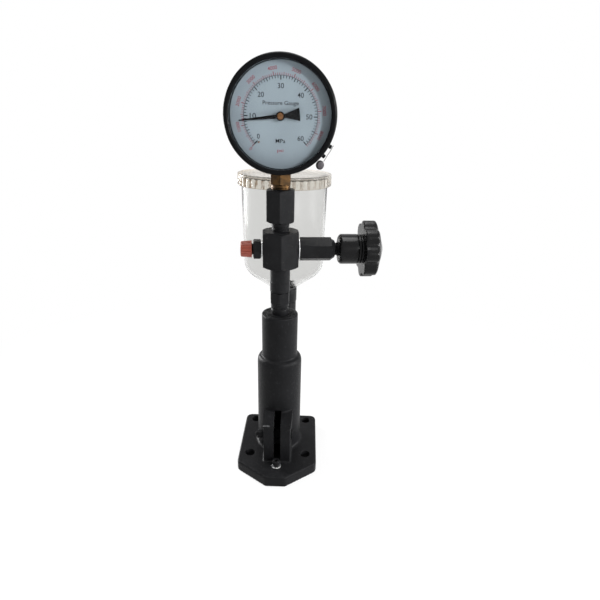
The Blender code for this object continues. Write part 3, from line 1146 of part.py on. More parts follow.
def build_lid(look, rubber, axis_point):
    """The ribbed screw lid and the soft ring that seals it on the cup's rim."""
    liner_low = CUP_TOP_Z + GAP
    liner_high = liner_low + LINER_THICK
    finish(lathe("lid_liner", [
        (LINER_INNER_R, liner_low), (CUP_TOP_R, liner_low), (CUP_TOP_R, liner_high), (LINER_INNER_R, liner_high),
    ], BIG, "Z", axis_point), rubber, (0, CUP_Y, liner_low))
    inner_r = CUP_TOP_R + GAP + 0.0002
    roof_low = liner_high + GAP
    valley = LID_R - LID_RIB
    rim_low = LID_HIGH - LID_RIM
    lid = lathe("cup_lid", [
        (0, roof_low), (inner_r, roof_low), (inner_r, LID_LOW), (valley, LID_LOW),
        (LID_R, LID_LOW + LID_RIB), (LID_R, rim_low - LID_RIB), (LID_R, rim_low),
        (LID_R, LID_HIGH - LID_EDGE), (LID_R - LID_EDGE, LID_HIGH), (0, LID_HIGH),
    ], 2 * LID_RIBS, "Z", axis_point)
    ribbed = (LID_LOW + LID_RIB / 2, rim_low - LID_RIB / 2)
    for vert in lid.data.vertices:
        offset = Vector((vert.co.x, vert.co.y - CUP_Y))
        if offset.length > valley + LID_RIB / 2 and ribbed[0] < vert.co.z < ribbed[1]:
            if round(math.atan2(offset.y, offset.x) * LID_RIBS * 2 / math.tau) % 2:
                offset *= valley / offset.length
                vert.co.x, vert.co.y = offset.x, CUP_Y + offset.y
    finish(lid, look, (0, CUP_Y, roof_low), 20)


def build_stop(steel, washer_look):
    """The socket screw on the base that stops the hand lever, with its washer."""
    at = (0, STOP_Y, 0)
    washer_low = PLATE_THICK + GAP
    washer_high = washer_low + STOP_WASHER
    finish(lathe("stop_washer", [
        (STOP_THREAD_R + GAP, washer_low), (STOP_WASHER_R, washer_low), (STOP_WASHER_R, washer_high),
        (STOP_THREAD_R + GAP, washer_high),
    ], SMALL, "Z", at), washer_look)
    head_low = washer_high + GAP
    head_high = head_low + STOP_HEAD
    screw = lathe("stop_screw", [
        (0, PLATE_THICK - STOP_THREAD), (STOP_THREAD_R, PLATE_THICK - STOP_THREAD), (STOP_THREAD_R, head_low),
        (STOP_HEAD_R, head_low), (STOP_HEAD_R, head_high - 0.0006), (STOP_HEAD_R - 0.0006, head_high), (0, head_high),
    ], SMALL, "Z", at)
    cut(screw, rod("hex_socket", STOP_SOCKET_AF / 2 / math.cos(math.pi / 6), head_high - STOP_SOCKET_DEPTH,
                   head_high + CUT, 6, "Z", at))
    finish(screw, steel)


def main():
    """Clear the scene and build every piece."""
    for old in list(bpy.data.objects):
        bpy.data.objects.remove(old, do_unlink=True)
    cast_black = material("cast_black", (0.020, 0.021, 0.023), 0.52, 0.0)
    steel_black = material("steel_black", (0.018, 0.018, 0.020), 0.38, 0.6)
    steel_bright = material("steel_bright", (0.55, 0.55, 0.56), 0.30, 1.0)
    spring_steel = material("spring_steel", (0.35, 0.35, 0.36), 0.40, 1.0)
    zinc = material("zinc_washer", (0.74, 0.75, 0.76), 0.28, 1.0)
    brass = material("brass", (0.46, 0.28, 0.10), 0.34, 1.0)
    knob_black = material("knob_black", (0.016, 0.016, 0.018), 0.24, 0.0)
    cap_red = material("cap_red", (0.36, 0.07, 0.035), 0.45, 0.0)
    clear = material("clear_plastic", (0.84, 0.84, 0.82), 0.12, 0.0, 0.35)
    clear_lid = material("lid_plastic", (0.80, 0.74, 0.60), 0.16, 0.0, 0.45)
    glass = material("window_glass", (0.92, 0.95, 0.97), 0.04, 0.0, 0.12)
    dial_blue = material("dial_pale_blue", (0.52, 0.60, 0.66), 0.55, 0.0)
    enamel_black = material("enamel_black", (0.012, 0.013, 0.015), 0.30, 0.0)
    rubber = material("rubber", (0.03, 0.03, 0.03), 0.75, 0.0)
    lead = material("lead", (0.10, 0.09, 0.10), 0.60, 0.7)

    build_casting(cast_black)
    build_lever(steel_black, steel_bright)
    seat_top, chamber_top = build_pump(steel_black, steel_bright, spring_steel)
    build_riser(steel_black, seat_top, chamber_top)
    build_manifold(steel_black)
    build_outlet(steel_black, zinc, cap_red)
    build_valve(steel_black, steel_bright, zinc, knob_black)
    turn_about_column([
        "manifold", "outlet_washer", "outlet_nipple", "outlet_cap",
        "valve_washer", "valve_body", "valve_needle", "valve_spindle", "star_knob",
    ], MANIFOLD_TURN)
    build_adapter(steel_black, brass, brass)
    build_gauge(enamel_black, glass, dial_blue, enamel_black, brass)
    build_seal(enamel_black, steel_bright, lead)
    build_cup(steel_black, clear, rubber, brass)
    bpy.data.objects["cup_lid"].data.materials[0] = clear_lid
    build_stop(steel_black, zinc)


main()
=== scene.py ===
# %% [markdown]
# # A diesel injector tester, dressed for the camera
# The CAD model gives every piece its place and its joint. This script gives the pieces their looks: it finishes
# the steel, the casting and the plastics, models again what needs rounder or finer shapes than the CAD has,
# and prints the dial. Everything is in metres, in the frame of the CAD model.

# %% Load the frame
import math

import bpy
from mathutils import Matrix, Vector


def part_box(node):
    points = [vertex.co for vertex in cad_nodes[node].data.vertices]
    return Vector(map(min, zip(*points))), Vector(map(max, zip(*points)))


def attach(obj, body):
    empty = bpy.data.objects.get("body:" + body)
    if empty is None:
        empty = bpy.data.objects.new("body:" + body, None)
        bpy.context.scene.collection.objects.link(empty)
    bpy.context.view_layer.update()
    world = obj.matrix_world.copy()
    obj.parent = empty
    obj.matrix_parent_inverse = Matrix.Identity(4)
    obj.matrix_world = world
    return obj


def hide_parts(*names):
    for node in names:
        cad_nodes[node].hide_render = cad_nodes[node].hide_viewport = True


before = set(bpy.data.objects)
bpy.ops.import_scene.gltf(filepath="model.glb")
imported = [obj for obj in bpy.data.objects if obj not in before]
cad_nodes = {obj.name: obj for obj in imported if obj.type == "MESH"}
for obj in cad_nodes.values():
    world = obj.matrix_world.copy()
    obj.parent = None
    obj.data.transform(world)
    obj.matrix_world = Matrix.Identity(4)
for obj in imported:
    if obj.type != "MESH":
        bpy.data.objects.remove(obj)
bpy.ops.object.select_all(action="DESELECT")
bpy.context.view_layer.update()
MM = 0.001
CUP_AXIS = (0, 0.0700, 0)
GAUGE_AXIS = tuple(Vector((0, 0, (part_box("gauge_window")[0].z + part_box("gauge_window")[1].z) / 2)))

# %% [markdown]
# ## The camera
# The photograph was taken close to the tester, a little above the gauge, looking down at about 21 degrees. The
# lens, the place and the small roll were worked out from edges whose places on the tester are known, so each
# piece of the render can be held against the same spot of the photograph.

# %% Camera
def aim_camera(place, yaw, tilt, roll, lens):
    """A camera at a place, turned by yaw, tilted down and rolled."""
    forward = Vector((math.sin(yaw) * math.cos(tilt), math.cos(yaw) * math.cos(tilt), -math.sin(tilt)))
    level = Vector((math.cos(yaw), -math.sin(yaw), 0))
    upward = level.cross(forward)
    across = level * math.cos(roll) + upward * math.sin(roll)
    above = upward * math.cos(roll) - level * math.sin(roll)
    lens_data = bpy.data.cameras.new("camera")
    lens_data.lens, lens_data.sensor_width = lens, 36
    lens_data.clip_start, lens_data.clip_end = 0.01, 20
    camera = bpy.data.objects.new("camera", lens_data)
    camera.matrix_world = Matrix.Translation(place) @ Matrix((across, above, -forward)).transposed().to_4x4()
    bpy.context.scene.collection.objects.link(camera)
    bpy.context.scene.camera = camera
    return camera


camera = aim_camera(place=(0.0269, -0.4506, 0.3653), yaw=math.radians(-0.72), tilt=math.radians(21.33),
                    roll=math.radians(1.37), lens=27.32)
bpy.context.scene.view_settings.view_transform = "Standard"
print("camera", [round(v, 3) for v in camera.location], "lens", round(camera.data.lens, 2))

# %% [markdown]
# ## Writing a material as sums
# A material in Blender is a net of nodes. Drawn by hand, a sum such as `grain * 0.3 + 0.4` takes two nodes and
# three wires. The small classes below let the script write the sum itself: `Value` is what comes out of a node,
# and Python's own + and * add the Math nodes. `Nodes` adds any other node, and `Finish` is one material.

# %% The Value, Nodes and Finish classes
class Value:
    """What comes out of a node, ready for sums."""

    def __init__(self, nodes, socket):
        self.nodes, self.socket = nodes, socket

    def sum_of(self, operation, other):
        return self.nodes.add("ShaderNodeMath", {"operation": operation}, {0: self, 1: other})

    def __add__(self, other):
        return self.sum_of("ADD", other)

    def __mul__(self, other):
        return self.sum_of("MULTIPLY", other)

    def most(self, other):
        return self.sum_of("MAXIMUM", other)


class Nodes:
    """A net of shader nodes, and the nodes that the finishes share."""

    def __init__(self, tree):
        self.tree = tree

    def put(self, node, socket, value):
        """A link where the value comes from a node, and otherwise a constant on the socket itself."""
        slot = node.inputs[socket]
        if isinstance(value, Value):
            self.tree.links.new(value.socket, slot)
        elif isinstance(value, (tuple, list, Vector)):
            slot.default_value = (*value, 1.0) if len(slot.default_value) == 4 and len(value) == 3 else tuple(value)
        else:
            slot.default_value = value

    def add(self, kind, settings=None, inputs=None, output=0):
        """Any node: its type, its settings, then the values or links of its sockets."""
        node = self.tree.nodes.new(kind)
        for name, value in (settings or {}).items():
            setattr(node, name, value)
        for socket, value in (inputs or {}).items():
            self.put(node, socket, value)
        return Value(self, node.outputs[output])

    def place(self, centre=(0, 0, 0), stretch=(1, 1, 1), turn=(0, 0, 0)):
        """Object coordinates in metres, centred, turned and stretched."""
        here = self.add("ShaderNodeTexCoord", output="Object")
        if centre == (0, 0, 0) and stretch == (1, 1, 1) and turn == (0, 0, 0):
            return here
        moved = self.add("ShaderNodeVectorMath", {"operation": "SUBTRACT"}, {0: here, 1: centre})
        return self.add("ShaderNodeMapping", {}, {"Vector": moved, "Scale": stretch, "Rotation": turn})

    def away_from(self, centre=(0, 0, 0), stretch=(1, 1, 1)):
        """The distance from a centre. An axis with stretch 0 doesn't count."""
        return self.add("ShaderNodeVectorMath", {"operation": "LENGTH"}, {0: self.place(centre, stretch)}, "Value")

    def along(self, letter):
        """One of the three coordinates."""
        return self.add("ShaderNodeSeparateXYZ", {}, {0: self.place()}, letter)

    def noise(self, per_metre, detail=3.0, rough=0.5, where=None):
        return self.add("ShaderNodeTexNoise", {}, {
            "Vector": where or self.place(), "Scale": per_metre, "Detail": detail, "Roughness": rough})

    def lathe_marks(self, per_metre, axis, along, across):
        """Noise squeezed along an axis, like the marks that a lathe leaves round a piece."""
        squeeze = tuple(along if letter == axis else across for letter in "XYZ")
        return self.noise(per_metre, 3, 0.6, self.place(stretch=squeeze))

    def between(self, value, low, high, first=0.0, last=1.0):
        """The value's span from low to high, spread smoothly over first to last."""
        return self.add("ShaderNodeMapRange", {"interpolation_type": "SMOOTHSTEP"}, {
            "Value": value, "From Min": low, "From Max": high, "To Min": first, "To Max": last})

    def blend(self, share, first, second):
        """A colour between two, by a share."""
        return self.add("ShaderNodeMix", {"data_type": "RGBA", "clamp_factor": True}, {
            0: share, 6: first, 7: second}, output=2)

    def bump(self, height, depth, strength):
        return self.add("ShaderNodeBump", {}, {"Height": height, "Distance": depth, "Strength": strength})


class Finish(Nodes):
    """One material: a Principled shader, and the nodes that shape it."""

    def __init__(self, name, **sockets):
        self.material = bpy.data.materials.new(name)
        self.material.use_nodes = True
        super().__init__(self.material.node_tree)
        self.shader = self.tree.nodes["Principled BSDF"]
        self.end(**sockets)

    def end(self, **sockets):
        """Feed the shader's sockets and hand over the material."""
        for socket, value in sockets.items():
            self.put(self.shader, socket.replace("_", " "), value)
        return self.material


# %% [markdown]
# ## Black cast iron
# The base and column are one sand casting with thin black paint over it. Paint on a casting is never even: the
# sand leaves fine grain, the film is duller where it is thin, and dust stays in the pores. Three noises of
# different scale do this: a fine one for the grain, a middle one for the pores and a wide one for the tone.

# %% Casting paint
def casting_paint():
    paint = Finish("casting_paint", Specular_IOR_Level=0.055, Sheen_Weight=0.03, Sheen_Roughness=0.30)
    tone = paint.noise(38, 3, 0.55)
    grain = paint.noise(900, 5, 0.62)
    pores = paint.noise(340, 2, 0.5)
    dust = paint.between(pores, 0.60, 0.74)
    colour = paint.blend(tone, (0.0040, 0.0041, 0.0045), (0.0105, 0.0107, 0.0116))
    colour = paint.blend(dust * 0.30, colour, (0.030, 0.030, 0.032))
    # Painted highlight: a lighter line of rubbed paint along the front edge of the left ear's cap, where that edge
    # catches the light.
    to_cap_edge = paint.away_from((0, -0.0440, 0.0595), (0, 1, 1))
    worn_edge_and_highlight = paint.between(to_cap_edge, 0.0011, 0.0005) * paint.between(paint.noise(260, 2, 0.5), 0.40, 0.54)
    worn_edge_and_highlight = worn_edge_and_highlight * paint.between(paint.along("X"), 0.004, 0)
    colour = paint.blend(worn_edge_and_highlight * 0.8, colour, (0.120, 0.120, 0.124))
    normal = paint.bump(grain + pores * 0.6, 0.00045, 0.55)
    return paint.end(Base_Color=colour, Roughness=tone * 0.14 + grain * 0.12 + 0.24, Normal=normal)


# %% [markdown]
# ## Black-oxide steel
# The hexagons, the riser and the valve are turned from bar and blackened in hot salt. Black oxide is a skin a
# few microns thick, so the tool marks stay in view and corners rub bright with handling. The marks run round
# each piece, so the noise is squeezed along the axis of the piece, and each axis gets its own material.

# %% Black oxide
def black_oxide(name, axis):
    oxide = Finish(name, Specular_IOR_Level=0.055)
    marks = oxide.lathe_marks(420, axis, 9.0, 0.5)
    cloud = oxide.noise(75, 3, 0.5)
    spots = oxide.between(oxide.noise(520, 2, 0.5), 0.66, 0.74)
    colour = oxide.blend(cloud, (0.0055, 0.0056, 0.0061), (0.0140, 0.0143, 0.0153))
    colour = oxide.blend(spots * 0.4, colour, (0.055, 0.050, 0.045))
    normal = oxide.bump(marks + cloud * 0.2, 0.00022, 0.5)
    return oxide.end(Base_Color=colour, Roughness=cloud * 0.18 + marks * 0.10 + 0.19, Normal=normal)


# %% [markdown]
# ## Bright steel, springs, zinc and brass
# Plain metals differ in colour, in how fine the cut is, and in how they age. One helper makes them all: marks
# squeezed along an axis, a slow cloud for the age, and a second colour that the cloud brings in.

# %% Plain metals
def plain_metal(name, fresh, aged, sheen, axis="Z", marks=0.35, patches=110):
    metal = Finish(name, Metallic=1.0)
    cut_marks = metal.lathe_marks(380, axis, 12.0, 0.7)
    age = metal.between(metal.noise(patches, 4, 0.6), 0.38, 0.68)
    colour = metal.blend(age, fresh, aged)
    normal = metal.bump(cut_marks, 0.00018, marks)
    return metal.end(Base_Color=colour, Roughness=age * 0.16 + cut_marks * 0.10 + sheen, Normal=normal)


# %% [markdown]
# ## Bakelite
# The knob is moulded bakelite: black all through, glossy, with a faint orange peel where it left the mould and
# fine scratches from hands. The orange peel is a wide, very shallow bump.

# %% Bakelite and the red cap
def bakelite():
    knob = Finish("bakelite", Specular_IOR_Level=0.14)
    peel = knob.noise(240, 2, 0.4)
    flow = knob.noise(60, 3, 0.55)
    scratches = knob.noise(700, 3, 0.6, knob.place(stretch=(0.35, 3.0, 1.2)))
    colour = knob.blend(flow, (0.0030, 0.0030, 0.0033), (0.0070, 0.0070, 0.0074))
    normal = knob.bump(peel + scratches * 0.08, 0.0004, 0.16)
    return knob.end(Base_Color=colour, Roughness=flow * 0.10 + scratches * 0.08 + 0.13, Normal=normal)


def cap_plastic():
    cap = Finish("cap_plastic", Specular_IOR_Level=0.4, Subsurface_Weight=0.08, Subsurface_Scale=0.002)
    flow = cap.noise(150, 4, 0.6)
    rub = cap.between(cap.noise(420, 3, 0.6), 0.52, 0.72)
    colour = cap.blend(flow, (0.155, 0.028, 0.016), (0.260, 0.054, 0.031))
    colour = cap.blend(rub * 0.30, colour, (0.38, 0.115, 0.072))
    normal = cap.bump(cap.noise(1300, 3, 0.5), 0.00015, 0.35)
    return cap.end(Base_Color=colour, Roughness=flow * 0.20 + rub * 0.10 + 0.34, Normal=normal)


# %% [markdown]
# ## Clear plastics and glass
# The fuel cup is moulded in clear plastic, which looks grey at its edges because the light travels a long way
# through the wall there. The lid has yellowed. Real refraction does the edges by itself, so each wall is
# modelled with its own thickness, and the noise only brings flow lines, hazy spots and fine scratches. The
# window is different: it is flat and thin, and the lamps have to light the dial through it, and light that a
# lamp sends through a refracting pane is lost. So the window is a nearly transparent film by its Alpha.

# %% Clear plastics and glass
def cup_plastic():
    """The cup's clear plastic: grey where light goes far through it, hazy in spots."""
    plastic = Finish("cup_plastic", Transmission_Weight=1.0, IOR=1.05, Coat_Weight=0.12, Coat_Roughness=0.40)
    flow = plastic.noise(26, 3, 0.5, plastic.place(stretch=(1, 1, 0.35)))
    haze_spots = plastic.between(plastic.noise(120, 4, 0.6), 0.45, 0.75)
    colour = plastic.blend(flow, (0.822, 0.822, 0.815), (0.775, 0.775, 0.765))
    normal = plastic.bump(flow + plastic.noise(500, 2, 0.5) * 0.04, 0.00012, 0.35)
    return plastic.end(Base_Color=colour, Roughness=haze_spots * 0.12 + 0.12, Normal=normal)


def lid_plastic():
    """The lid's yellowed plastic, with the brown of old fuel in the grooves between its ribs."""
    plastic = Finish("lid_plastic", Transmission_Weight=1.0, IOR=1.14, Coat_Weight=0.08, Coat_Roughness=0.35)
    away = plastic.away_from(CUP_AXIS, (1, 1, 0))
    groove = plastic.between(away, 0.0511, 0.0518, 1, 0) * plastic.between(away, 0.0490, 0.0505)
    groove = groove * plastic.between(plastic.along("Z"), 0.3094, 0.3088)
    flow = plastic.noise(40, 3, 0.5)
    colour = plastic.blend(flow, (0.945, 0.912, 0.852), (0.900, 0.848, 0.762))
    side = plastic.along("X")
    stain = plastic.between(plastic.noise(330, 3, 0.6), 0.34, 0.52) * plastic.between(side, 0.055, -0.045, 0.55, 1.0)
    colour = plastic.blend(plastic.between(side, -0.030, -0.052) * 0.55, colour, (0.700, 0.560, 0.370))
    colour = plastic.blend(groove * stain, colour, (0.20, 0.115, 0.055))
    normal = plastic.bump(flow + plastic.noise(500, 2, 0.5) * 0.04, 0.0003, 0.35)
    return plastic.end(Base_Color=colour, Roughness=flow * 0.12 + 0.14, Normal=normal)


def window_glass():
    glass = Finish("window_glass", Specular_IOR_Level=0.5)
    smear = glass.noise(45, 4, 0.6, glass.place(stretch=(1, 1, 0.4), turn=(0, 0.5, 0)))
    colour = glass.blend(smear, (0.010, 0.012, 0.013), (0.050, 0.055, 0.060))
    return glass.end(Base_Color=colour, Roughness=glass.between(smear, 0.45, 0.8, 0.03, 0.09),
                     Alpha=glass.between(smear, 0.3, 0.8, 0.045, 0.085))


# %% [markdown]
# ## The dial, its ink, and the small soft pieces
# The dial is a sheet with pale blue-grey enamel, a little mottled, with painted shade that darkens it towards the
# rim, under the ring. The ink is screen printed, so it is flat, a bit uneven in cover, and less glossy than the
# enamel.

# %% Dial, ink, rubber and lead
def dial_enamel():
    enamel = Finish("dial_enamel", Specular_IOR_Level=0.35)
    # Painted shade: the enamel darkens towards the rim, where the gauge's ring stands over the dial.
    ring_shade = enamel.between(enamel.away_from(GAUGE_AXIS, (1, 0, 1)), 0.026, 0.046)
    mottle = enamel.noise(60, 4, 0.6)
    colour = enamel.blend(mottle, (0.312, 0.383, 0.430), (0.343, 0.416, 0.465))
    colour = enamel.blend(ring_shade * 0.45, colour, (0.240, 0.292, 0.338))
    fleck = enamel.noise(1800, 2, 0.5)
    return enamel.end(Base_Color=colour, Roughness=mottle * 0.10 + 0.42, Normal=enamel.bump(fleck, 0.00003, 0.3))


def printed_ink(name, solid, thin):
    ink = Finish(name, Specular_IOR_Level=0.2)
    cover = ink.between(ink.noise(1500, 3, 0.6), 0.42, 0.72)
    return ink.end(Base_Color=ink.blend(cover * 0.5, solid, thin), Roughness=cover * 0.2 + 0.5)


def soft_rubber():
    rubber = Finish("soft_rubber", Specular_IOR_Level=0.3)
    bloom = rubber.noise(300, 4, 0.6)
    colour = rubber.blend(rubber.between(bloom, 0.5, 0.8), (0.016, 0.016, 0.017), (0.060, 0.058, 0.056))
    return rubber.end(Base_Color=colour, Roughness=bloom * 0.15 + 0.62,
                      Normal=rubber.bump(rubber.noise(1600, 2, 0.5), 0.0001, 0.4))


def pressed_lead():
    lead = Finish("pressed_lead", Metallic=0.75)
    dents = lead.noise(700, 3, 0.55)
    colour = lead.blend(lead.noise(350, 3, 0.6), (0.010, 0.009, 0.010), (0.045, 0.040, 0.045))
    return lead.end(Base_Color=colour, Roughness=dents * 0.2 + 0.42, Normal=lead.bump(dents, 0.0005, 0.5))


def black_enamel(name="black_enamel", gloss=0.055, shade=1.0):
    enamel = Finish(name, Specular_IOR_Level=gloss)
    ripple = enamel.noise(160, 2, 0.45)
    dust = enamel.between(enamel.noise(650, 3, 0.55), 0.62, 0.80)
    # shade scales the whole colour down; a shade below 1 paints shade onto the piece.
    colour = enamel.blend(ripple, (0.0022 * shade, 0.0023 * shade, 0.0026 * shade),
                          (0.0050 * shade, 0.0052 * shade, 0.0058 * shade))
    colour = enamel.blend(dust * (0.25 * shade), colour, (0.05, 0.05, 0.052))
    return enamel.end(Base_Color=colour, Roughness=ripple * 0.08 + dust * 0.12 + 0.20,
                      Normal=enamel.bump(ripple, 0.0003, 0.14))


# %% [markdown]
# ## All the finishes in one place
# Each finish is made once and shared by the pieces that have it on the real tester. The letters after the
# black oxide and the metals tell along which axis those pieces were turned.

# %% Make the finishes
CAST = casting_paint()
OXIDE_X, OXIDE_Y, OXIDE_Z = (black_oxide("black_oxide_" + axis.lower(), axis) for axis in "XYZ")
STEEL_TONES = ((0.52, 0.52, 0.53), (0.36, 0.35, 0.34), 0.22)
ZINC_TONES = ((0.80, 0.81, 0.83), (0.62, 0.62, 0.60), 0.20)
BRIGHT_Z = plain_metal("bright_steel", *STEEL_TONES)
BRIGHT_X = plain_metal("bright_steel_x", *STEEL_TONES, "X")
SPRING = plain_metal("spring_wire", (0.34, 0.34, 0.35), (0.20, 0.19, 0.18), 0.30)
ZINC_X = plain_metal("zinc_washer_x", *ZINC_TONES, "X", 0.2)
ZINC_Z = plain_metal("zinc_washer_z", *ZINC_TONES, "Z", 0.2)
BRASS = plain_metal("brass_bar", (0.068, 0.037, 0.015), (0.028, 0.018, 0.010), 0.30, "Z", 0.4, 160)
BRASS_Y = plain_metal("brass_disc", (0.26, 0.130, 0.055), (0.11, 0.052, 0.026), 0.28, "Y", 0.4, 200)
BAKELITE = bakelite()
CAP_RED = cap_plastic()
CUP_CLEAR = cup_plastic()
LID_CLEAR = lid_plastic()
WINDOW = window_glass()
ENAMEL = dial_enamel()
INK_BLACK = printed_ink("black_ink", (0.006, 0.007, 0.010), (0.020, 0.023, 0.028))
INK_RED = printed_ink("red_ink", (0.30, 0.055, 0.080), (0.36, 0.120, 0.145))
RUBBER = soft_rubber()
LEAD = pressed_lead()
BLACK = black_enamel()
# A black at a quarter of the enamel's brightness, for the lever's knuckle: painted shade that stands for the deep
# shadow in the slot.
SLOT_SHADE_BLACK = black_enamel("painted_slot_shade", 0.01, 0.25)
print("finishes:", len([m for m in bpy.data.materials if m.use_nodes]))

# %% [markdown]
# ## Finish the CAD pieces that stay
# A piece whose CAD shape is right keeps it, and only its material changes. Most of these are inside the
# tester: the plunger, its barrel and spring, the delivery valve and the gauge's movement.

# %% Assign finishes to CAD nodes
FINISH_OF = {
    OXIDE_Z: "tappet spring_plate", BRIGHT_Z: "plunger pump_barrel delivery_seat delivery_valve seal_wire",
    BRIGHT_X: "valve_needle", SPRING: "plunger_spring delivery_spring", BRASS: "strainer",
    BRASS_Y: "stop_pin movement_frame bourdon_tube tip_link", RUBBER: "cup_gasket lid_liner",
}
for finish_material, names in FINISH_OF.items():
    for name in names.split():
        cad_nodes[name].material_slots[0].material = finish_material
print("CAD nodes that keep their shape:", len(" ".join(FINISH_OF.values()).split()))

# %% [markdown]
# ## Modelling helpers
# Nearly every piece of the tester was made on a lathe, so the main helper works like one: the half outline is
# drawn point by point with extrude, and spin takes it round the axis. A second helper lays a piece along its
# axis, moves it to its place and applies that, so that each finished piece sits at the origin.

# %% Helpers for turned pieces
def select_only(piece):
    bpy.ops.object.select_all(action="DESELECT")
    bpy.context.view_layer.objects.active = piece
    piece.select_set(True)


def leave_edit():
    if bpy.context.mode != "OBJECT":
        bpy.ops.object.mode_set(mode="OBJECT")


def to_edit(piece):
    leave_edit()
    select_only(piece)
    bpy.ops.object.mode_set(mode="EDIT")


def end_edit(merge=0.0, outward=True):
    """Merge the points that meet, turn the faces outward, and leave edit mode."""
    bpy.ops.mesh.select_all(action="SELECT")
    if merge:
        bpy.ops.mesh.remove_doubles(threshold=merge)
    if outward:
        bpy.ops.mesh.normals_make_consistent(inside=False)
    leave_edit()


def pick(piece, kind, chosen):
    """Go into edit mode with only the chosen points, edges or faces selected."""
    to_edit(piece)
    bpy.ops.mesh.select_mode(type=kind)
    bpy.ops.mesh.select_all(action="DESELECT")
    bpy.ops.object.mode_set(mode="OBJECT")
    for part in {"VERT": piece.data.vertices, "EDGE": piece.data.edges, "FACE": piece.data.polygons}[kind]:
        part.select = chosen(part)
    bpy.ops.object.mode_set(mode="EDIT")


def pick_edges(piece, chosen):
    """Go into edit mode with the edges selected whose two ends are as asked."""
    leave_edit()
    spots = [vert.co.copy() for vert in piece.data.vertices]
    pick(piece, "EDGE", lambda edge: chosen(spots[edge.vertices[0]], spots[edge.vertices[1]]))


def upright(start, end):
    return (start - end).xy.length < 1e-6


def turned(name, outline, facets=96, closed=False):
    """Spin a half outline of (radius, height) points round Z. A closed outline is a ring, and the ends of an open
    one are led to the axis."""
    outline = list(outline)
    if closed:
        outline.append(outline[0])
    else:
        outline = [(0, outline[0][1])] * (outline[0][0] > 0) + outline + [(0, outline[-1][1])] * (outline[-1][0] > 0)
    bpy.ops.mesh.primitive_plane_add(size=MM, location=(0, 0, 0))
    piece = bpy.context.object
    piece.name = piece.data.name = name
    bpy.ops.object.mode_set(mode="EDIT")
    bpy.ops.mesh.merge(type="CENTER")
    points = [Vector((radius, 0, height)) for radius, height in outline]
    bpy.ops.transform.translate(value=points[0])
    for before, after in zip(points, points[1:]):
        bpy.ops.mesh.extrude_vertices_move(TRANSFORM_OT_translate={"value": after - before})
    bpy.ops.mesh.select_all(action="SELECT")
    bpy.ops.mesh.spin(steps=facets, angle=math.tau, center=(0, 0, 0), axis=(0, 0, 1))
    end_edit(merge=2e-6)
    return piece


def lay(piece, axis="Z", at=(0, 0, 0), turn=0.0):
    """Lay a piece that was made along Z along another axis, move it, and turn it about the column."""
    tilt = {"Z": Matrix.Identity(4), "X": Matrix.Rotation(math.radians(90), 4, "Y"),
            "-X": Matrix.Rotation(math.radians(-90), 4, "Y"), "Y": Matrix.Rotation(math.radians(-90), 4, "X")}[axis]
    select_only(piece)
    piece.matrix_world = Matrix.Rotation(turn, 4, "Z") @ Matrix.Translation(at) @ tilt @ piece.matrix_world
    bpy.ops.object.transform_apply()
    return piece


def modify(piece, kind, **settings):
    """Add a modifier and apply it."""
    select_only(piece)
    modifier = piece.modifiers.new(kind.lower(), kind)
    for name, value in settings.items():
        setattr(modifier, name, value)
    bpy.ops.object.modifier_apply(modifier=modifier.name)
    return piece


def combine(piece, *others, how="DIFFERENCE"):
    """Cut other pieces from this one, or join them to it."""
    for other in others:
        modify(piece, "BOOLEAN", object=other, operation=how, solver="EXACT")
        bpy.data.objects.remove(other)
    return piece


def hand_over(piece, material, node=None, sharp=32.0, body="stand"):
    """Shade a finished piece, give it its finish and its body, and let it stand for a CAD node."""
    select_only(piece)
    bpy.ops.object.shade_smooth_by_angle(angle=math.radians(sharp))
    piece.data.materials.clear()
    piece.data.materials.append(material)
    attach(piece, body)
    if node:
        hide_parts(*node.split())
    print(piece.name, "faces", len(piece.data.polygons))
    return piece


# %% [markdown]
# ## The casting
# The foundry made the plate, the stepped column and the two ears in one mould, so every corner between them
# has a small radius that the sand leaves. Rounding each edge with a bevel fails where three shapes meet.
# Instead the shapes are joined, a voxel remesh gives them one even skin, and a few rounds of smoothing roll
# the corners over. Holes and the slot were cut after casting, so they are cut after the smoothing, and stay sharp.

# %% Plate, column and ears
PLATE = {"thick": 0.012, "half": 0.0440, "rear": 0.0452, "side_end": -0.0438, "nose": -0.0686, "nose_half": 0.0103,
         "corner": 0.0070, "top_edge": 0.0013}
COLUMN_TOP = 0.1740
LOWER_R, UPPER_R = 0.0245, 0.0194
SHOULDER = {"out": 0.0051, "low": 0.1172, "high": 0.0072}
EAR_REAR, EAR_FRONT = 0.0156, 0.0144          # half the width of both ears, at the column and in front
FEED = (0, 0, 0.1515)
PIVOT = Vector((0, -0.0280, 0.0374))


def block(name, low, high):
    """A box between two corners."""
    low, high = Vector(low), Vector(high)
    bpy.ops.mesh.primitive_cube_add(size=1, location=(low + high) / 2, scale=high - low)
    box = bpy.context.object
    box.name = box.data.name = name
    bpy.ops.object.transform_apply()
    return box


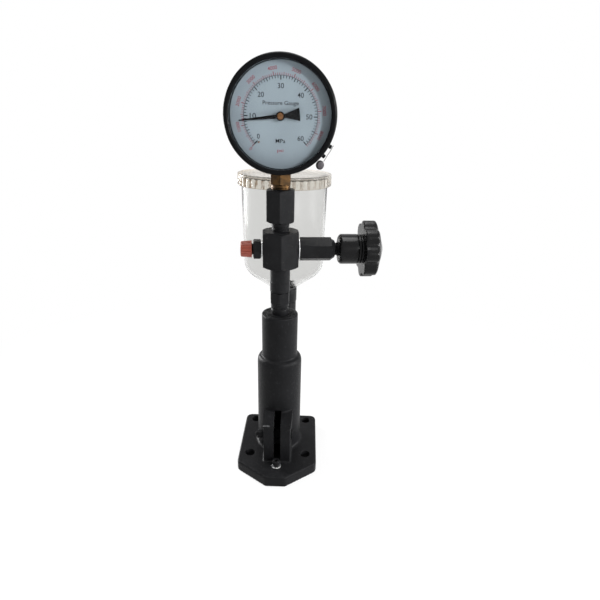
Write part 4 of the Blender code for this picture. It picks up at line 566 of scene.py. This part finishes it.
def base_plate():
    """The plate: a box whose front corners are sawn off, with its upright corners rounded."""
    plate = block("plate", (-PLATE["half"], PLATE["nose"], 0), (PLATE["half"], PLATE["rear"], PLATE["thick"]))
    to_edit(plate)
    run = Vector((PLATE["half"] - PLATE["nose_half"], PLATE["side_end"] - PLATE["nose"], 0))
    for side in (1, -1):
        bpy.ops.mesh.select_all(action="SELECT")
        bpy.ops.mesh.bisect(plane_co=(side * PLATE["half"], PLATE["side_end"], 0),
                            plane_no=(side * run.y, -run.x, 0), use_fill=True, clear_outer=True)
    for low_y, high_y, turned_by in ((0.040, 0.050, 90), (-0.050, -0.040, 53.7), (-0.070, -0.060, 36.3)):
        offset = PLATE["corner"] * math.tan(math.radians(turned_by / 2))
        pick_edges(plate, lambda start, end: upright(start, end) and low_y < start.y < high_y)
        bpy.ops.mesh.bevel(offset=offset, segments=8, offset_type="OFFSET")
    pick_edges(plate, lambda start, end: min(start.z, end.z) > PLATE["thick"] - 1e-6)
    bpy.ops.mesh.bevel(offset=PLATE["top_edge"], segments=2, offset_type="OFFSET")
    bpy.ops.mesh.select_mode(type="VERT")
    leave_edit()
    return plate


def ear_block(proud, low_rear, low_front):
    """The block of both ears: its front is narrower, and its top slopes up to the column."""
    front, rear = -0.0432 - proud, -0.0180
    ears = block("ears", (-EAR_REAR - proud, front, low_rear), (EAR_REAR + proud, rear, 0.0648))
    for vert in ears.data.vertices:
        if vert.co.y < (front + rear) / 2:
            vert.co.x *= (EAR_FRONT + proud) / (EAR_REAR + proud)
            vert.co.z = 0.0597 if vert.co.z > 0.05 + low_rear * 0.2 else low_front
    return ears


def column_outline():
    shoulder = [(UPPER_R + SHOULDER["out"] * math.cos(angle) ** 0.65,
                 SHOULDER["low"] + SHOULDER["high"] * math.sin(angle))
                for angle in [math.pi / 2 * step / 8 for step in range(9)]]
    foot = [(LOWER_R + 0.0026, 0.0110), (LOWER_R + 0.0026, 0.0120), (LOWER_R + 0.0009, 0.0129), (LOWER_R, 0.0146)]
    return [*foot, *shoulder, (UPPER_R, COLUMN_TOP - 0.0006), (UPPER_R - 0.0006, COLUMN_TOP)]


def cast_body():
    """The casting: one skin over plate, column and ears, then the machined cuts."""
    body = combine(base_plate(), turned("column", column_outline(), 128), ear_block(0, 0.0110, 0.0110), how="UNION")
    body.name = body.data.name = "cast_body"
    modify(body, "REMESH", mode="VOXEL", voxel_size=0.0008, use_smooth_shade=True)
    modify(body, "SMOOTH", factor=0.5, iterations=4)
    combine(body, ear_block(0.0008, 0.0624, 0.0573), how="UNION")
    bolt_hole = [(0.0052, -0.001), (0.0052, 0.0114), (0.0060, 0.0125)]
    # With a radius of 6.6 mm and 32 facets the clip faces left open edges at their lowest point, hence 6.65 mm and
    # 34.
    cuts = [
        turned("bore", [(0.0113, 0.0270), (0.0113, 0.0995), (0.0135, 0.0995), (0.0135, COLUMN_TOP + 0.001)], 48),
        block("slot", (-0.0039, -0.0448, 0.0118), (0.0039, 0, 0.0660)),
        lay(turned("pin_hole", [(0.0050, -0.03), (0.0050, 0.03)], 32), "X", PIVOT),
        *(lay(turned("clip_face", [(0.00665, 0.0148), (0.00665, 0.026)], 34), axis, PIVOT) for axis in ("X", "-X")),
        *(lay(turned("bolt_hole", bolt_hole, 40), "Z", (x, y, 0))
          for x in (-0.0313, 0.0313) for y in (-0.0291, 0.0344)),
        lay(turned("stop_hole", [(0.0032, 0.003), (0.0032, 0.013)], 24), "Z", (0, -0.0504, 0)),
        lay(turned("feed_pad", [(0.0142, 0.0178), (0.0142, 0.026)], 48), "Y", FEED),
        lay(turned("feed_hole", [(0.0068, 0.0100), (0.0068, 0.019)], 32), "Y", FEED),
    ]
    return combine(body, *cuts)


hand_over(cast_body(), CAST, "body_casting", 40)

# %% [markdown]
# ## Hexagons
# The fittings are hexagon bar whose ends were faced on a lathe, which leaves the curved chamfers at the
# corners. A six-sided circle is extruded to a bar that is a little too long, and a turned blank with 30 degree
# cones on its ends is laid over it: what both share is the chamfered hexagon. Two ends in one plane would leave
# the boolean nothing to tell inside from outside by, hence the longer bar. The six long edges get a thin bevel
# before that, while the bar is a clean prism, because real edges catch a line of light.

# %% Hexagon helper
def hexagon(name, flats, low, high, face_r=None, corner=0.00035, turn=0.0):
    """A piece of hexagon bar along Z, chamfered at both ends down to a faced circle."""
    face_r = face_r or flats / 2 - 0.0004
    corner_r = flats / 2 / math.cos(math.pi / 6)
    bpy.ops.mesh.primitive_circle_add(vertices=6, radius=corner_r, fill_type="NGON", location=(0, 0, low - MM))
    bar = bpy.context.object
    bar.name = bar.data.name = name
    bpy.ops.object.transform_apply()
    bpy.ops.object.mode_set(mode="EDIT")
    bpy.ops.mesh.select_all(action="SELECT")
    bpy.ops.mesh.extrude_region_move(TRANSFORM_OT_translate={"value": (0, 0, high - low + 2 * MM)})
    end_edit()
    pick_edges(bar, upright)
    bpy.ops.mesh.bevel(offset=corner, segments=3, offset_type="OFFSET")
    bpy.ops.mesh.select_mode(type="VERT")
    leave_edit()
    bar.data.transform(Matrix.Rotation(turn, 4, "Z"))
    over = corner_r + 0.002
    rise = (over - face_r) * math.tan(math.radians(30))
    blank = turned("blank", [(face_r, low), (over, low + rise), (over, high - rise), (face_r, high)])
    return combine(bar, blank, how="INTERSECT")


def thread(radius, low, high, pitch, depth=None):
    """The half outline of a threaded length, as ridges and grooves."""
    depth = depth or pitch * 0.5
    count = max(1, round((high - low) / pitch))
    pitch = (high - low) / count
    outline = []
    for index in range(count):
        start = low + pitch * index
        outline += [(radius - depth, start), (radius, start + pitch * 0.42), (radius, start + pitch * 0.58)]
    return [*outline, (radius - depth, high)]


# %% [markdown]
# ## The stack over the column
# From the column up: the outlet fitting with its hexagon, the riser tube, the big manifold, the gauge adapter
# and the brass stem. The manifold was screwed on until it was tight, and stopped 6 degrees past the front.

# %% Outlet fitting, riser, manifold, adapter and stem
TURN = math.radians(6)
PORT_Z = 0.2446


def at_port(piece, axis="X"):
    """Lay a piece on its side at the height of the manifold's ports, turned with the manifold."""
    return lay(piece, axis, (0, 0, PORT_Z), TURN)


def fitting():
    piece = hexagon("fitting", 0.0190, 0.1858, 0.1990)
    outline = [(0.0131, 0.1640), (0.0131, 0.1743), (0.0094, 0.1743), (0.0094, 0.1790), (0.0088, 0.1800),
               (0.0088, 0.1815), (0.0094, 0.1825), (0.0094, 0.1862)]
    return combine(piece, turned("fitting_neck", outline), how="UNION")


def riser():
    return turned("riser", [(0.0100, 0.1993), (0.0105, 0.1998), (0.0105, 0.2100), (0.0103, 0.2102), (0.0103, 0.2258),
                            (0.0099, 0.2262)])


def manifold_block():
    block_piece = lay(hexagon("manifold_block", 0.0360, 0.2265, 0.2635, 0.0179, 0.0004), turn=TURN)
    cuts = [turned("top_hole", [(0.0083, 0.2525), (0.0083, 0.2628), (0.0092, 0.2637)], 64)]
    for axis, radius in (("X", 0.0073), ("-X", 0.0063)):
        cuts.append(at_port(turned("side_hole", [(radius, 0.0092), (radius, 0.0200)], 48), axis))
    return combine(block_piece, *cuts)


def adapter():
    piece = hexagon("adapter", 0.0270, 0.2723, 0.3045, 0.0128)
    outline = [(0.0080, 0.2530), (0.0080, 0.2638), (0.0089, 0.2638), (0.0089, 0.2660), (0.0084, 0.2666),
               (0.0084, 0.2676), (0.0089, 0.2682), (0.0089, 0.2727)]
    combine(piece, turned("adapter_neck", outline), how="UNION")
    return combine(piece, turned("socket", [(0.0072, 0.2905), (0.0072, 0.3037), (0.0082, 0.3047)], 64))


def brass_stem():
    """The brass stem: collar, hexagon, and the neck and block inside the gauge. Collar and neck are turned a
    little, because with facets that line up with the hexagon's faces the boolean leaves open edges."""
    outline = [(0, 0.2905), *thread(0.0069, 0.2906, 0.3055, 0.0015), (0.0069, 0.3061), (0.0090, 0.3061),
               (0.0094, 0.3065), (0.0094, 0.3085), (0.0090, 0.3091)]
    collar = lay(turned("stem_collar", outline), turn=math.radians(1.7))
    stem = combine(hexagon("stem", 0.0190, 0.3087, 0.3190, 0.0094), collar, how="UNION")
    neck = turned("stem_neck", [(0.0079, 0.3187), (0.0079, 0.3246)], 48)
    combine(stem, lay(neck, turn=math.radians(1.3)),
            block("stem_block", (-0.0072, -0.0072, 0.3244), (0.0072, 0.0072, 0.3435)),
            block("stem_post", (-0.0050, -0.0050, 0.3433), (0.0050, 0.0050, 0.3525)), how="UNION")
    return stem


hand_over(fitting(), OXIDE_Z, "outlet_fitting", 26)
hand_over(riser(), OXIDE_Z, "riser_tube")
hand_over(manifold_block(), OXIDE_Z, "manifold", 26)
hand_over(adapter(), OXIDE_Z, "gauge_adapter", 26)
hand_over(brass_stem(), BRASS, "gauge_stem", 26)

# %% [markdown]
# ## The outlet on the left and the valve on the right
# Both screw into the manifold against a soft washer. They are made along Z, like everything from a lathe, and
# then laid on their side and turned with the manifold. The cap is pushed over the outlet's thread, and its
# ribs are made by drawing every second group of its side in.

# %% Outlet nipple, cap and washers
def washer(name, inner, outer, low, high):
    edge = 0.00018
    return turned(name, [(inner, low), (outer - edge, low), (outer, low + edge), (outer, high - edge),
                         (outer - edge, high), (inner, high)], 72, closed=True)


def nipple():
    piece = hexagon("nipple", 0.0180, 0.0196, 0.0276)
    outline = [(0, 0.0092), *thread(0.0060, 0.0093, 0.0190, 0.0014), (0.0056, 0.0200)]
    outer = [(0.0056, 0.0272), (0.0056, 0.0280), *thread(0.0060, 0.0281, 0.0340, 0.0014), (0.0054, 0.0344),
             (0.0032, 0.0380)]
    combine(piece, turned("inner_thread", outline, 64), turned("outer_thread", outer, 64), how="UNION")
    return combine(piece, turned("drilling", [(0.0015, 0.008), (0.0015, 0.039)], 24))


CAP_RIBS, LID_RIBS, LOBES = 18, 40, 8
COLUMNS = 8                                   # columns of faces for each rib or lobe


def pull_in(piece, chosen, share):
    """Draw the chosen points in towards the axis."""
    pick(piece, "VERT", lambda vert: chosen(vert.co))
    bpy.ops.transform.resize(value=(share, share, 1), center_override=(0, 0, 0))
    leave_edit()


def in_groove(place, ribs, wide, inner=0):
    """True where a point's angle falls in the groove beside its rib, but not in the groove's inner part."""
    turn = math.atan2(place.y, place.x) * ribs / math.tau
    return inner / 2 <= abs((turn % 1) - 0.5) < wide / 2


def thread_cap():
    cap = turned("thread_cap", [
        (0.0066, 0.0403), (0.0074, 0.0400), (0.0078, 0.0394), (0.0078, 0.0388), (0.0079, 0.0384), (0.0086, 0.0300),
        (0.0087, 0.0296), (0.0087, 0.0291), (0.0085, 0.0290), (0.0063, 0.0290), (0.0063, 0.0345), (0.0035, 0.0384),
    ], CAP_RIBS * COLUMNS)
    pull_in(cap, lambda at: at.xy.length > 0.0077 and 0.0299 < at.z < 0.0386 and in_groove(at, CAP_RIBS, 0.45), 0.925)
    return cap


hand_over(at_port(washer("outlet_seal", 0.0063, 0.0088, 0.0183, 0.0193), "-X"), ZINC_X, "outlet_washer")
hand_over(at_port(nipple(), "-X"), OXIDE_X, "outlet_nipple", 26)
hand_over(at_port(thread_cap(), "-X"), CAP_RED, "outlet_cap", body="outlet_cap")

# %% Valve body and spindle
def valve_housing():
    piece = hexagon("valve_housing", 0.0220, 0.0196, 0.0516, 0.0115, turn=math.radians(34))
    stem_side = [(0, 0.0092), *thread(0.0070, 0.0093, 0.0190, 0.0015), (0.0066, 0.0200)]
    nose = [(0.0106, 0.0512), (0.0106, 0.0518), (0.0088, 0.0550), (0.0084, 0.0552)]
    combine(piece, turned("valve_thread", stem_side, 64), turned("valve_nose", nose), how="UNION")
    inside = [(0.0024, 0.0082), (0.0024, 0.0250), (0.0050, 0.0280), (0.0050, 0.0400), (0.0070, 0.0400),
              (0.0070, 0.0545), (0.0076, 0.0553)]
    return combine(piece, turned("valve_bore", inside, 48))


def spindle():
    return turned("spindle", [
        (0.0030, 0.0353), (0.0030, 0.0403), *thread(0.0067, 0.0404, 0.0584, 0.0015, 0.0009), (0.0074, 0.0585),
        (0.0074, 0.0592), (0.0067, 0.0593), (0.0067, 0.0712),
    ], 72)


hand_over(at_port(washer("valve_seal", 0.0073, 0.0120, 0.0183, 0.0193)), ZINC_X, "valve_washer")
hand_over(at_port(valve_housing()), OXIDE_X, "valve_body", 26)
hand_over(at_port(spindle()), OXIDE_X, "valve_spindle", body="handwheel")

# %% [markdown]
# ## The star knob
# A moulded knob is all soft curves, which is what a subdivision surface is for. The hub and the star are
# turned with only eight columns of faces for each lobe, those in each valley are drawn in, the middle ones most,
# and the subdivision rounds the lobes. Rings that lie close together keep an edge crisp, as at the star's back.

# %% Star knob
def star_knob():
    """The hub and the eight-lobed star, as one soft-edged moulding."""
    knob = turned("knob", [
        (0.0064, 0.0716), (0.0070, 0.0714), (0.0070, 0.0706), (0.0070, 0.0603), (0.0072, 0.0597),
        (0.0078, 0.0595), (0.0130, 0.0595), (0.0136, 0.0597), (0.0152, 0.0613), (0.0154, 0.0619), (0.0154, 0.0640),
        (0.0154, 0.0775), (0.0154, 0.0785), (0.0149, 0.0788), (0.0149, 0.0800), (0.0154, 0.0803), (0.0154, 0.0812),
        (0.0149, 0.0815), (0.0149, 0.0827), (0.0152, 0.0833), (0.0165, 0.0834), (0.0280, 0.0834), (0.0288, 0.0835),
        (0.0294, 0.0842), (0.0294, 0.0852), (0.0294, 0.0935), (0.0294, 0.0949), (0.0293, 0.0956), (0.0285, 0.0966),
        (0.0258, 0.0980), (0.0215, 0.0991), (0.0160, 0.1010), (0.0105, 0.1030), (0.0055, 0.1046), (0.0018, 0.1056),
        (0, 0.1057),
    ], LOBES * COLUMNS)
    star_back, front_edge = 0.0834, 0.0970
    for deep, inner, reach in ((0.845, 0, 0.08), (0.885, 0.08, 0.27), (0.957, 0.27, 0.52)):
        shallow = 1 - (1 - deep) * 0.62
        in_valley = lambda at: in_groove(at, LOBES, reach, inner)
        pull_in(knob, lambda at: at.z > star_back - 1e-5 and at.xy.length > 0.0270 and in_valley(at), deep)
        pull_in(knob, lambda at: at.z > front_edge and 0.0200 < at.xy.length < 0.0265 and in_valley(at), shallow)
    modify(knob, "SUBSURF", levels=1, render_levels=1)
    return knob


hand_over(at_port(star_knob()), BAKELITE, "star_knob", 50, "handwheel")

# %% [markdown]
# ## The fuel cup and its lid
# The cup is one clear moulding with an even wall, so only its outside is drawn, and the inside is that line
# moved inwards by the wall. A quadratic curve bends the cone into the wall. The lid has forty grip ribs: its
# skirt is turned with eight columns of faces for each rib, and the columns in the grooves are drawn in, the
# middle ones more than the flanks, which rounds them.

# %% Cup
def curve(start, corner, end, steps=14):
    """Points of the curve that leaves start towards the corner and arrives at end."""
    spots = [step / steps for step in range(steps + 1)]
    return [tuple((1 - s) ** 2 * a + 2 * s * (1 - s) * b + s * s * c for a, b, c in zip(start, corner, end))
            for s in spots]


def moved_in(outline, wall):
    """The outline moved towards its left-hand side, which is the inside of the cup."""
    moved = []
    for index, point in enumerate(outline):
        before, after = outline[max(0, index - 1)], outline[min(len(outline) - 1, index + 1)]
        along = Vector((after[0] - before[0], after[1] - before[1])).normalized()
        moved.append((point[0] - along.y * wall, point[1] + along.x * wall))
    return moved


def fuel_cup():
    outer = [(0.0160, 0.1807), (0.0230, 0.18585), *curve((0.0375, 0.1965), (0.0464, 0.2030), (0.0464, 0.2135)),
             (0.0470, 0.2515), (0.0479, 0.3082)]
    inner = moved_in(outer, 0.0024)[1:]
    return turned("fuel_cup", [
        (0.0050, 0.1680), (0.0117, 0.1680), (0.0120, 0.1683), (0.0120, 0.1807), *outer, (0.0476, 0.3085),
        (0.0459, 0.3085), *reversed(inner), (0.0150, 0.1832), (0.0052, 0.1821), (0.0050, 0.1818),
    ], 128, closed=True)


def ribbed_lid():
    lid = turned("ribbed_lid", [
        (0.0480, 0.3106), (0.0484, 0.3102), (0.0484, 0.3003), (0.0487, 0.3000), (0.0508, 0.3000),
        (0.0514, 0.3003), (0.0520, 0.3012), (0.0520, 0.3030), (0.0520, 0.3070), (0.0520, 0.3088), (0.0513, 0.3096),
        (0.0514, 0.3099), (0.0520, 0.3103), (0.0520, 0.3120), (0.0517, 0.3126), (0.0510, 0.3130), (0.0488, 0.3130),
        (0.0480, 0.3127), (0.0300, 0.3126),
    ], LID_RIBS * COLUMNS)
    grooved = lambda at: at.xy.length > 0.0512 and 0.3007 < at.z < 0.3092
    pull_in(lid, lambda at: grooved(at) and in_groove(at, LID_RIBS, 0.30), 0.9830)
    pull_in(lid, lambda at: grooved(at) and in_groove(at, LID_RIBS, 0.55, 0.30), 0.9895)
    return lid


hand_over(lay(fuel_cup(), "Z", CUP_AXIS), CUP_CLEAR, "cup_body", 50)
hand_over(lay(ribbed_lid(), "Z", CUP_AXIS), LID_CLEAR, "cup_lid", 40, "lid")

# %% [markdown]
# ## The gauge
# The case and the ring are pressed from sheet and rolled over each other. All of it is turned along Z and laid
# on its side, so that the heights in these outlines are distances along Y. The window is a plain disc of glass.

# %% Ring, case, window and dial plate
def at_gauge(piece):
    """Lay a piece on its side, on the axis of the gauge."""
    return lay(piece, "Y", GAUGE_AXIS)


def gauge_ring():
    return turned("gauge_ring", [
        (0.0457, -0.0199), (0.0457, -0.0206), (0.0459, -0.0211), (0.0463, -0.0215), (0.0469, -0.0217),
        (0.0484, -0.0217), (0.0492, -0.0215), (0.0499, -0.0210), (0.0503, -0.0203), (0.0505, -0.0195),
        (0.0505, -0.0090), (0.0503, -0.0086), (0.0500, -0.0085), (0.0478, -0.0085), (0.0478, -0.0199),
    ], 160, closed=True)


def gauge_can():
    """The case: a drawn can with a rounded back, a shallow step in it, and the hole for the stem."""
    can = turned("gauge_can", [
        (0.0300, 0.0125), (0.0430, 0.0125), (0.0452, 0.0117), (0.0460, 0.0098), (0.0460, -0.0173),
        (0.0475, -0.0173), (0.0475, 0.0100), (0.0472, 0.0115), (0.0463, 0.0128), (0.0450, 0.0137), (0.0435, 0.0140),
        (0.0345, 0.0140), (0.0338, 0.0134), (0.0330, 0.0132),
    ], 144)
    return combine(at_gauge(can), turned("stem_hole", [(0.0082, 0.3210), (0.0082, 0.3300)], 48))


hand_over(at_gauge(gauge_ring()), BLACK, "bezel_ring", 50)
hand_over(gauge_can(), BLACK, "gauge_case", 40)
glass = turned("glass", [(0.0472, -0.0196), (0.0475, -0.0193), (0.0475, -0.0176)], 128)
hand_over(at_gauge(glass), WINDOW, "gauge_window")
plate = turned("dial_sheet", [(0.0016, -0.0100), (0.0455, -0.0100), (0.0457, -0.0098), (0.0457, -0.0090),
                              (0.0016, -0.0090)], 128, closed=True)
hand_over(at_gauge(plate), ENAMEL, "dial_plate")

# %% [markdown]
# ## The print on the dial
# A dial is screen printed, black for MPa and red for psi. Each scale is one thin tick that spin copies round
# the dial, so the ticks share the dial's own angles: zero at the lower left, the full scale 270 degrees on.
# Numbers start as text objects, become meshes, and are scaled to the sizes measured on the photograph.

# %% Scale, numbers and words
INK_TOP, INK_BACK = 0.00004, 0.00010
SCALE_START, SCALE_SWEEP = 225, 270           # degrees
FULL_SCALE = 60                               # MPa
MPA_STEP = SCALE_SWEEP / FULL_SCALE           # degrees for one MPa
PSI_STEP = MPA_STEP * 6.8948 / 1000           # degrees for one psi


def along_scale(name, **spin):
    """Turn the shape just added to the start of the scale, and spin it from there along the scale."""
    piece = bpy.context.object
    piece.name = piece.data.name = name
    bpy.ops.object.transform_apply()
    piece.data.transform(Matrix.Rotation(math.radians(SCALE_START), 4, "Z"))
    bpy.ops.object.mode_set(mode="EDIT")
    bpy.ops.mesh.select_all(action="SELECT")
    bpy.ops.mesh.spin(center=(0, 0, 0), axis=(0, 0, 1), **spin)
    end_edit()
    return piece


def ticks(name, inner, outer, wide, step):
    """Ticks along the scale, one for each step in degrees."""
    bpy.ops.mesh.primitive_cube_add(size=1, location=((inner + outer) / 2, 0, 0),
                                    scale=(outer - inner, wide, INK_TOP + INK_BACK))
    steps = int(SCALE_SWEEP / step)
    return along_scale(name, steps=steps, dupli=True, angle=math.radians(step * steps))


def arc_line(name, radius, wide):
    """A printed line along the scale: a small upright face that spin draws round the dial."""
    bpy.ops.mesh.primitive_plane_add(size=1, location=(radius, 0, 0), rotation=(math.pi / 2, 0, 0))
    bpy.context.object.scale = (wide, INK_TOP + INK_BACK, 1)
    return along_scale(name, steps=120, angle=math.radians(SCALE_SWEEP))


def printed(words, across, up, height, width, turn=0.0):
    """Words on the dial, centred at a place, as high and as wide as they are printed."""
    bpy.ops.object.text_add(location=(0, 0, 0))
    text = bpy.context.object
    text.data.body, text.data.size, text.data.extrude = words, 1.0, 0.5
    text.data.resolution_u, text.data.offset = 4, 0.006
    bpy.ops.object.convert(target="MESH")
    piece = bpy.context.object
    to_edit(piece)
    end_edit(merge=0.0002, outward=False)
    spots = [vert.co for vert in piece.data.vertices]
    low = Vector(min(spot[axis] for spot in spots) for axis in range(3))
    high = Vector(max(spot[axis] for spot in spots) for axis in range(3))
    full = high - low
    scale = Vector((width / full.x, height / full.y, (INK_TOP + INK_BACK) / full.z))
    piece.data.transform(Matrix.Translation((across, up, 0)) @ Matrix.Rotation(math.radians(turn), 4, "Z")
                         @ Matrix.Diagonal((*scale, 1)) @ Matrix.Translation(-(low + high) / 2))
    return piece


def to_dial(name, pieces, ink):
    """Join printed pieces, and set them on the face of the dial."""
    bpy.ops.object.select_all(action="DESELECT")
    for piece in pieces:
        piece.select_set(True)
    bpy.context.view_layer.objects.active = pieces[0]
    bpy.ops.object.join()
    joined = bpy.context.object
    joined.name = joined.data.name = name
    place = Matrix.Translation((0, -0.0100 - INK_TOP + (INK_TOP + INK_BACK) / 2, GAUGE_AXIS[2]))
    joined.data.transform(place @ Matrix.Rotation(math.radians(90), 4, "X"))
    to_edit(joined)
    end_edit()
    return hand_over(joined, ink)


def on_circle(radius, angle):
    return radius * math.cos(math.radians(angle)), radius * math.sin(math.radians(angle))


black_print = [
    arc_line("scale_line", 0.03335, 0.00036),
    ticks("minor_ticks", 0.0311, 0.0334, 0.00058, MPA_STEP),
    ticks("middle_ticks", 0.0305, 0.0334, 0.00070, 5 * MPA_STEP),
    ticks("major_ticks", 0.0298, 0.0335, 0.00090, 10 * MPA_STEP),
    printed("Pressure Gauge", 0, 0.0106, 0.0045, 0.0322),
    printed("MPa", 0, -0.0210, 0.0036, 0.0089),
]
for number in range(0, FULL_SCALE + 1, 10):
    radius = {0: 0.0266, 50: 0.0257, 60: 0.0260}.get(number, 0.0250)
    across, up = on_circle(radius, 220.5 if number == 0 else SCALE_START - MPA_STEP * number)
    black_print.append(printed(str(number), across, up, 0.0043, 0.0056 if number else 0.0025))

red_print = [
    ticks("psi_minor", 0.0335, 0.0355, 0.00050, 100 * PSI_STEP),
    ticks("psi_middle", 0.0335, 0.0361, 0.00062, 500 * PSI_STEP),
    ticks("psi_major", 0.0335, 0.0368, 0.00075, 1000 * PSI_STEP),
    printed("psi", 0, -0.0297, 0.0036, 0.0056),
]
for thousands in range(1, 9):
    angle = SCALE_START - 1000 * PSI_STEP * thousands
    across, up = on_circle(0.0395, angle)
    red_print.append(printed(str(thousands * 1000), across, up, 0.0031, 0.0082, angle - 90))
red_print.append(printed("0", *on_circle(0.0392, 226), 0.0031, 0.0020, 136))
to_dial("black_print", black_print, INK_BLACK)
to_dial("red_print", red_print, INK_RED)

# %% [markdown]
# ## Softened pieces
# The small steel pieces have the right shape in the CAD model, only with razor edges and flat facets. A copy
# of each is merged from its loose triangles, flat areas become single faces again, and a thin bevel rounds
# the edges. Modelling them again by hand would give the same shape for more work.

# %% Small pieces
def softened(node, width, sharp=28):
    """A copy of a CAD piece with its flat faces joined and its edges rounded."""
    piece = bpy.data.objects.new(node + "_soft", cad_nodes[node].data.copy())
    bpy.context.scene.collection.objects.link(piece)
    to_edit(piece)
    bpy.ops.mesh.select_all(action="SELECT")
    bpy.ops.mesh.remove_doubles(threshold=2e-6)
    bpy.ops.mesh.dissolve_limited(angle_limit=math.radians(1.5))
    leave_edit()
    return modify(piece, "BEVEL", width=width, segments=2, limit_method="ANGLE", angle_limit=math.radians(sharp))


SOFT_PIECES = [
    ("cup_seat", OXIDE_Z, "stand", 0.00030), ("feed_stud", OXIDE_Y, "stand", 0.00030),
    ("drain_plug", OXIDE_Z, "stand", 0.00030), ("pivot_pin", OXIDE_X, "stand", 0.00025),
    ("pin_clip_left", OXIDE_X, "stand", 0.00010), ("pin_clip_right", OXIDE_X, "stand", 0.00010),
    ("grease_nipple", OXIDE_X, "stand", 0.00012), ("stop_screw", OXIDE_Z, "stand", 0.00018),
    ("stop_washer", ZINC_Z, "stand", 0.00012), ("seal_lug_upper", BLACK, "stand", 0.00015),
    ("seal_lug_lower", BLACK, "stand", 0.00015), ("lead_seal", LEAD, "stand", 0.00035),
    # The lever's knuckle wears the darkened black: painted shade of the slot around it.
    ("lever_knuckle", SLOT_SHADE_BLACK, "rocker", 0.00035), ("gauge_washer", BRASS, "stand", 0.00012),
]
arbor = turned("arbor_boss", [(0.0037, -0.0152), (0.0040, -0.0149), (0.0040, -0.0144), (0.0014, -0.0144),
                              (0.0014, -0.0102)], 64)
hand_over(at_gauge(arbor), BLACK, body="needle_pointer")
arbor_screw = at_gauge(turned("arbor_screw", [(0.0009, -0.0158), (0.0024, -0.0158), (0.0028, -0.0155),
                                              (0.0028, -0.0151)], 48))
combine(arbor_screw, block("driver_slot", (-0.0030, -0.0160, GAUGE_AXIS[2] - 0.00045),
                           (0.0030, -0.0154, GAUGE_AXIS[2] + 0.00045)))
hand_over(arbor_screw, BRASS_Y, "pointer_arbor", body="needle_pointer")
for node, finish_material, body, width in SOFT_PIECES:
    hand_over(softened(node, width), finish_material, node, 30, body)


SHOWN_PRESSURE = 8.6                          # MPa, where the photograph shows the pointer
HUB_REACH, TAIL_REACH = 0.0034, 0.0110        # the needle starts, and the tail's neck ends, this far from the axis


def needle():
    """The pointer, with its needle and the neck of its tail widened as the photograph shows them."""
    piece = softened("pointer", 0.00008)
    heading = math.radians(SCALE_START - SCALE_SWEEP * SHOWN_PRESSURE / FULL_SCALE)
    along, across = (Vector((math.cos(heading), 0, math.sin(heading))),
                     Vector((-math.sin(heading), 0, math.cos(heading))))
    for vert in piece.data.vertices:
        from_hub = vert.co - Vector(GAUGE_AXIS)
        if from_hub.dot(along) > HUB_REACH:
            vert.co += across * from_hub.dot(across) * 0.55
        elif -TAIL_REACH < from_hub.dot(along) < -HUB_REACH:
            vert.co += across * from_hub.dot(across) * 0.75
    return piece


hand_over(needle(), BLACK, "pointer", 30, "needle_pointer")

# %% [markdown]
# ## The floor, the backdrop and the light
# The photograph has a white background, so the floor and the world are white to the camera, to reflections and
# to refractions. The object is lit by a darker world than that, and by four soft lamps. The key lamp stands
# on the right, which throws the shadow of the gauge's ring on the right side of the dial, as in the photograph.
# The right and the rim lamp draw light edges on the black pieces, and the top lamp lights what faces up. No lamp
# is seen through the clear plastic, which would burn the end of the lid white.

# %% Floor, world and lamps
def white_to_the_eye(nodes):
    """1 for rays from the camera, reflections and refractions, and 0 for rays that carry light."""
    path = nodes.add("ShaderNodeLightPath", output="Is Camera Ray")
    rays = path.socket.node.outputs
    return path.most(Value(nodes, rays["Is Glossy Ray"])).most(Value(nodes, rays["Is Transmission Ray"]))


def build_floor():
    bpy.ops.mesh.primitive_plane_add(size=8, location=(0, 0, -0.0002))
    floor = bpy.context.object
    floor.name = "floor"
    paper = Finish("floor_paper", Roughness=0.9)
    paper.end(Base_Color=(0.82, 0.82, 0.82))
    glow = paper.add("ShaderNodeEmission", {}, {"Color": (1, 1, 1), "Strength": 1.0})
    seen = white_to_the_eye(paper) * paper.between(paper.away_from(), 0.10, 0.55, 0.80, 1.0)
    mixed = paper.add("ShaderNodeMixShader", {}, {0: seen, 1: Value(paper, paper.shader.outputs[0]), 2: glow})
    paper.tree.links.new(mixed.socket, paper.tree.nodes["Material Output"].inputs["Surface"])
    floor.data.materials.append(paper.material)
    return floor


def build_world(strength):
    world = bpy.data.worlds.new("studio")
    world.use_nodes = True
    bpy.context.scene.world = world
    sky = Nodes(world.node_tree)
    seen = white_to_the_eye(sky)
    background = sky.tree.nodes["Background"]
    background.inputs["Color"].default_value = (1, 1, 1, 1)
    sky.put(background, "Strength", seen * (1 - strength) + strength)


def soft_lamp(name, place, target_z, width, height, watts):
    """A soft rectangular lamp, aimed at a height on the tester's axis."""
    light = bpy.data.lights.new(name, "AREA")
    light.shape, light.size, light.size_y, light.energy = "RECTANGLE", width, height, watts
    lamp = bpy.data.objects.new(name, light)
    lamp.matrix_world = (Matrix.Translation(place)
                         @ (Vector((0, 0, target_z)) - Vector(place)).to_track_quat("-Z", "Y").to_matrix().to_4x4())
    lamp.visible_transmission = False
    bpy.context.scene.collection.objects.link(lamp)


build_floor()
build_world(0.18)
soft_lamp("key_lamp", (0.95, -1.15, 0.62), 0.28, 0.16, 0.36, 17)
soft_lamp("right_lamp", (1.45, -0.10, 0.40), 0.22, 0.4, 1.0, 32)
soft_lamp("rim_lamp", (-1.10, 0.75, 0.45), 0.20, 0.5, 1.0, 42)
soft_lamp("top_lamp", (0.0, 0.1, 1.5), 0.2, 0.8, 0.8, 18)
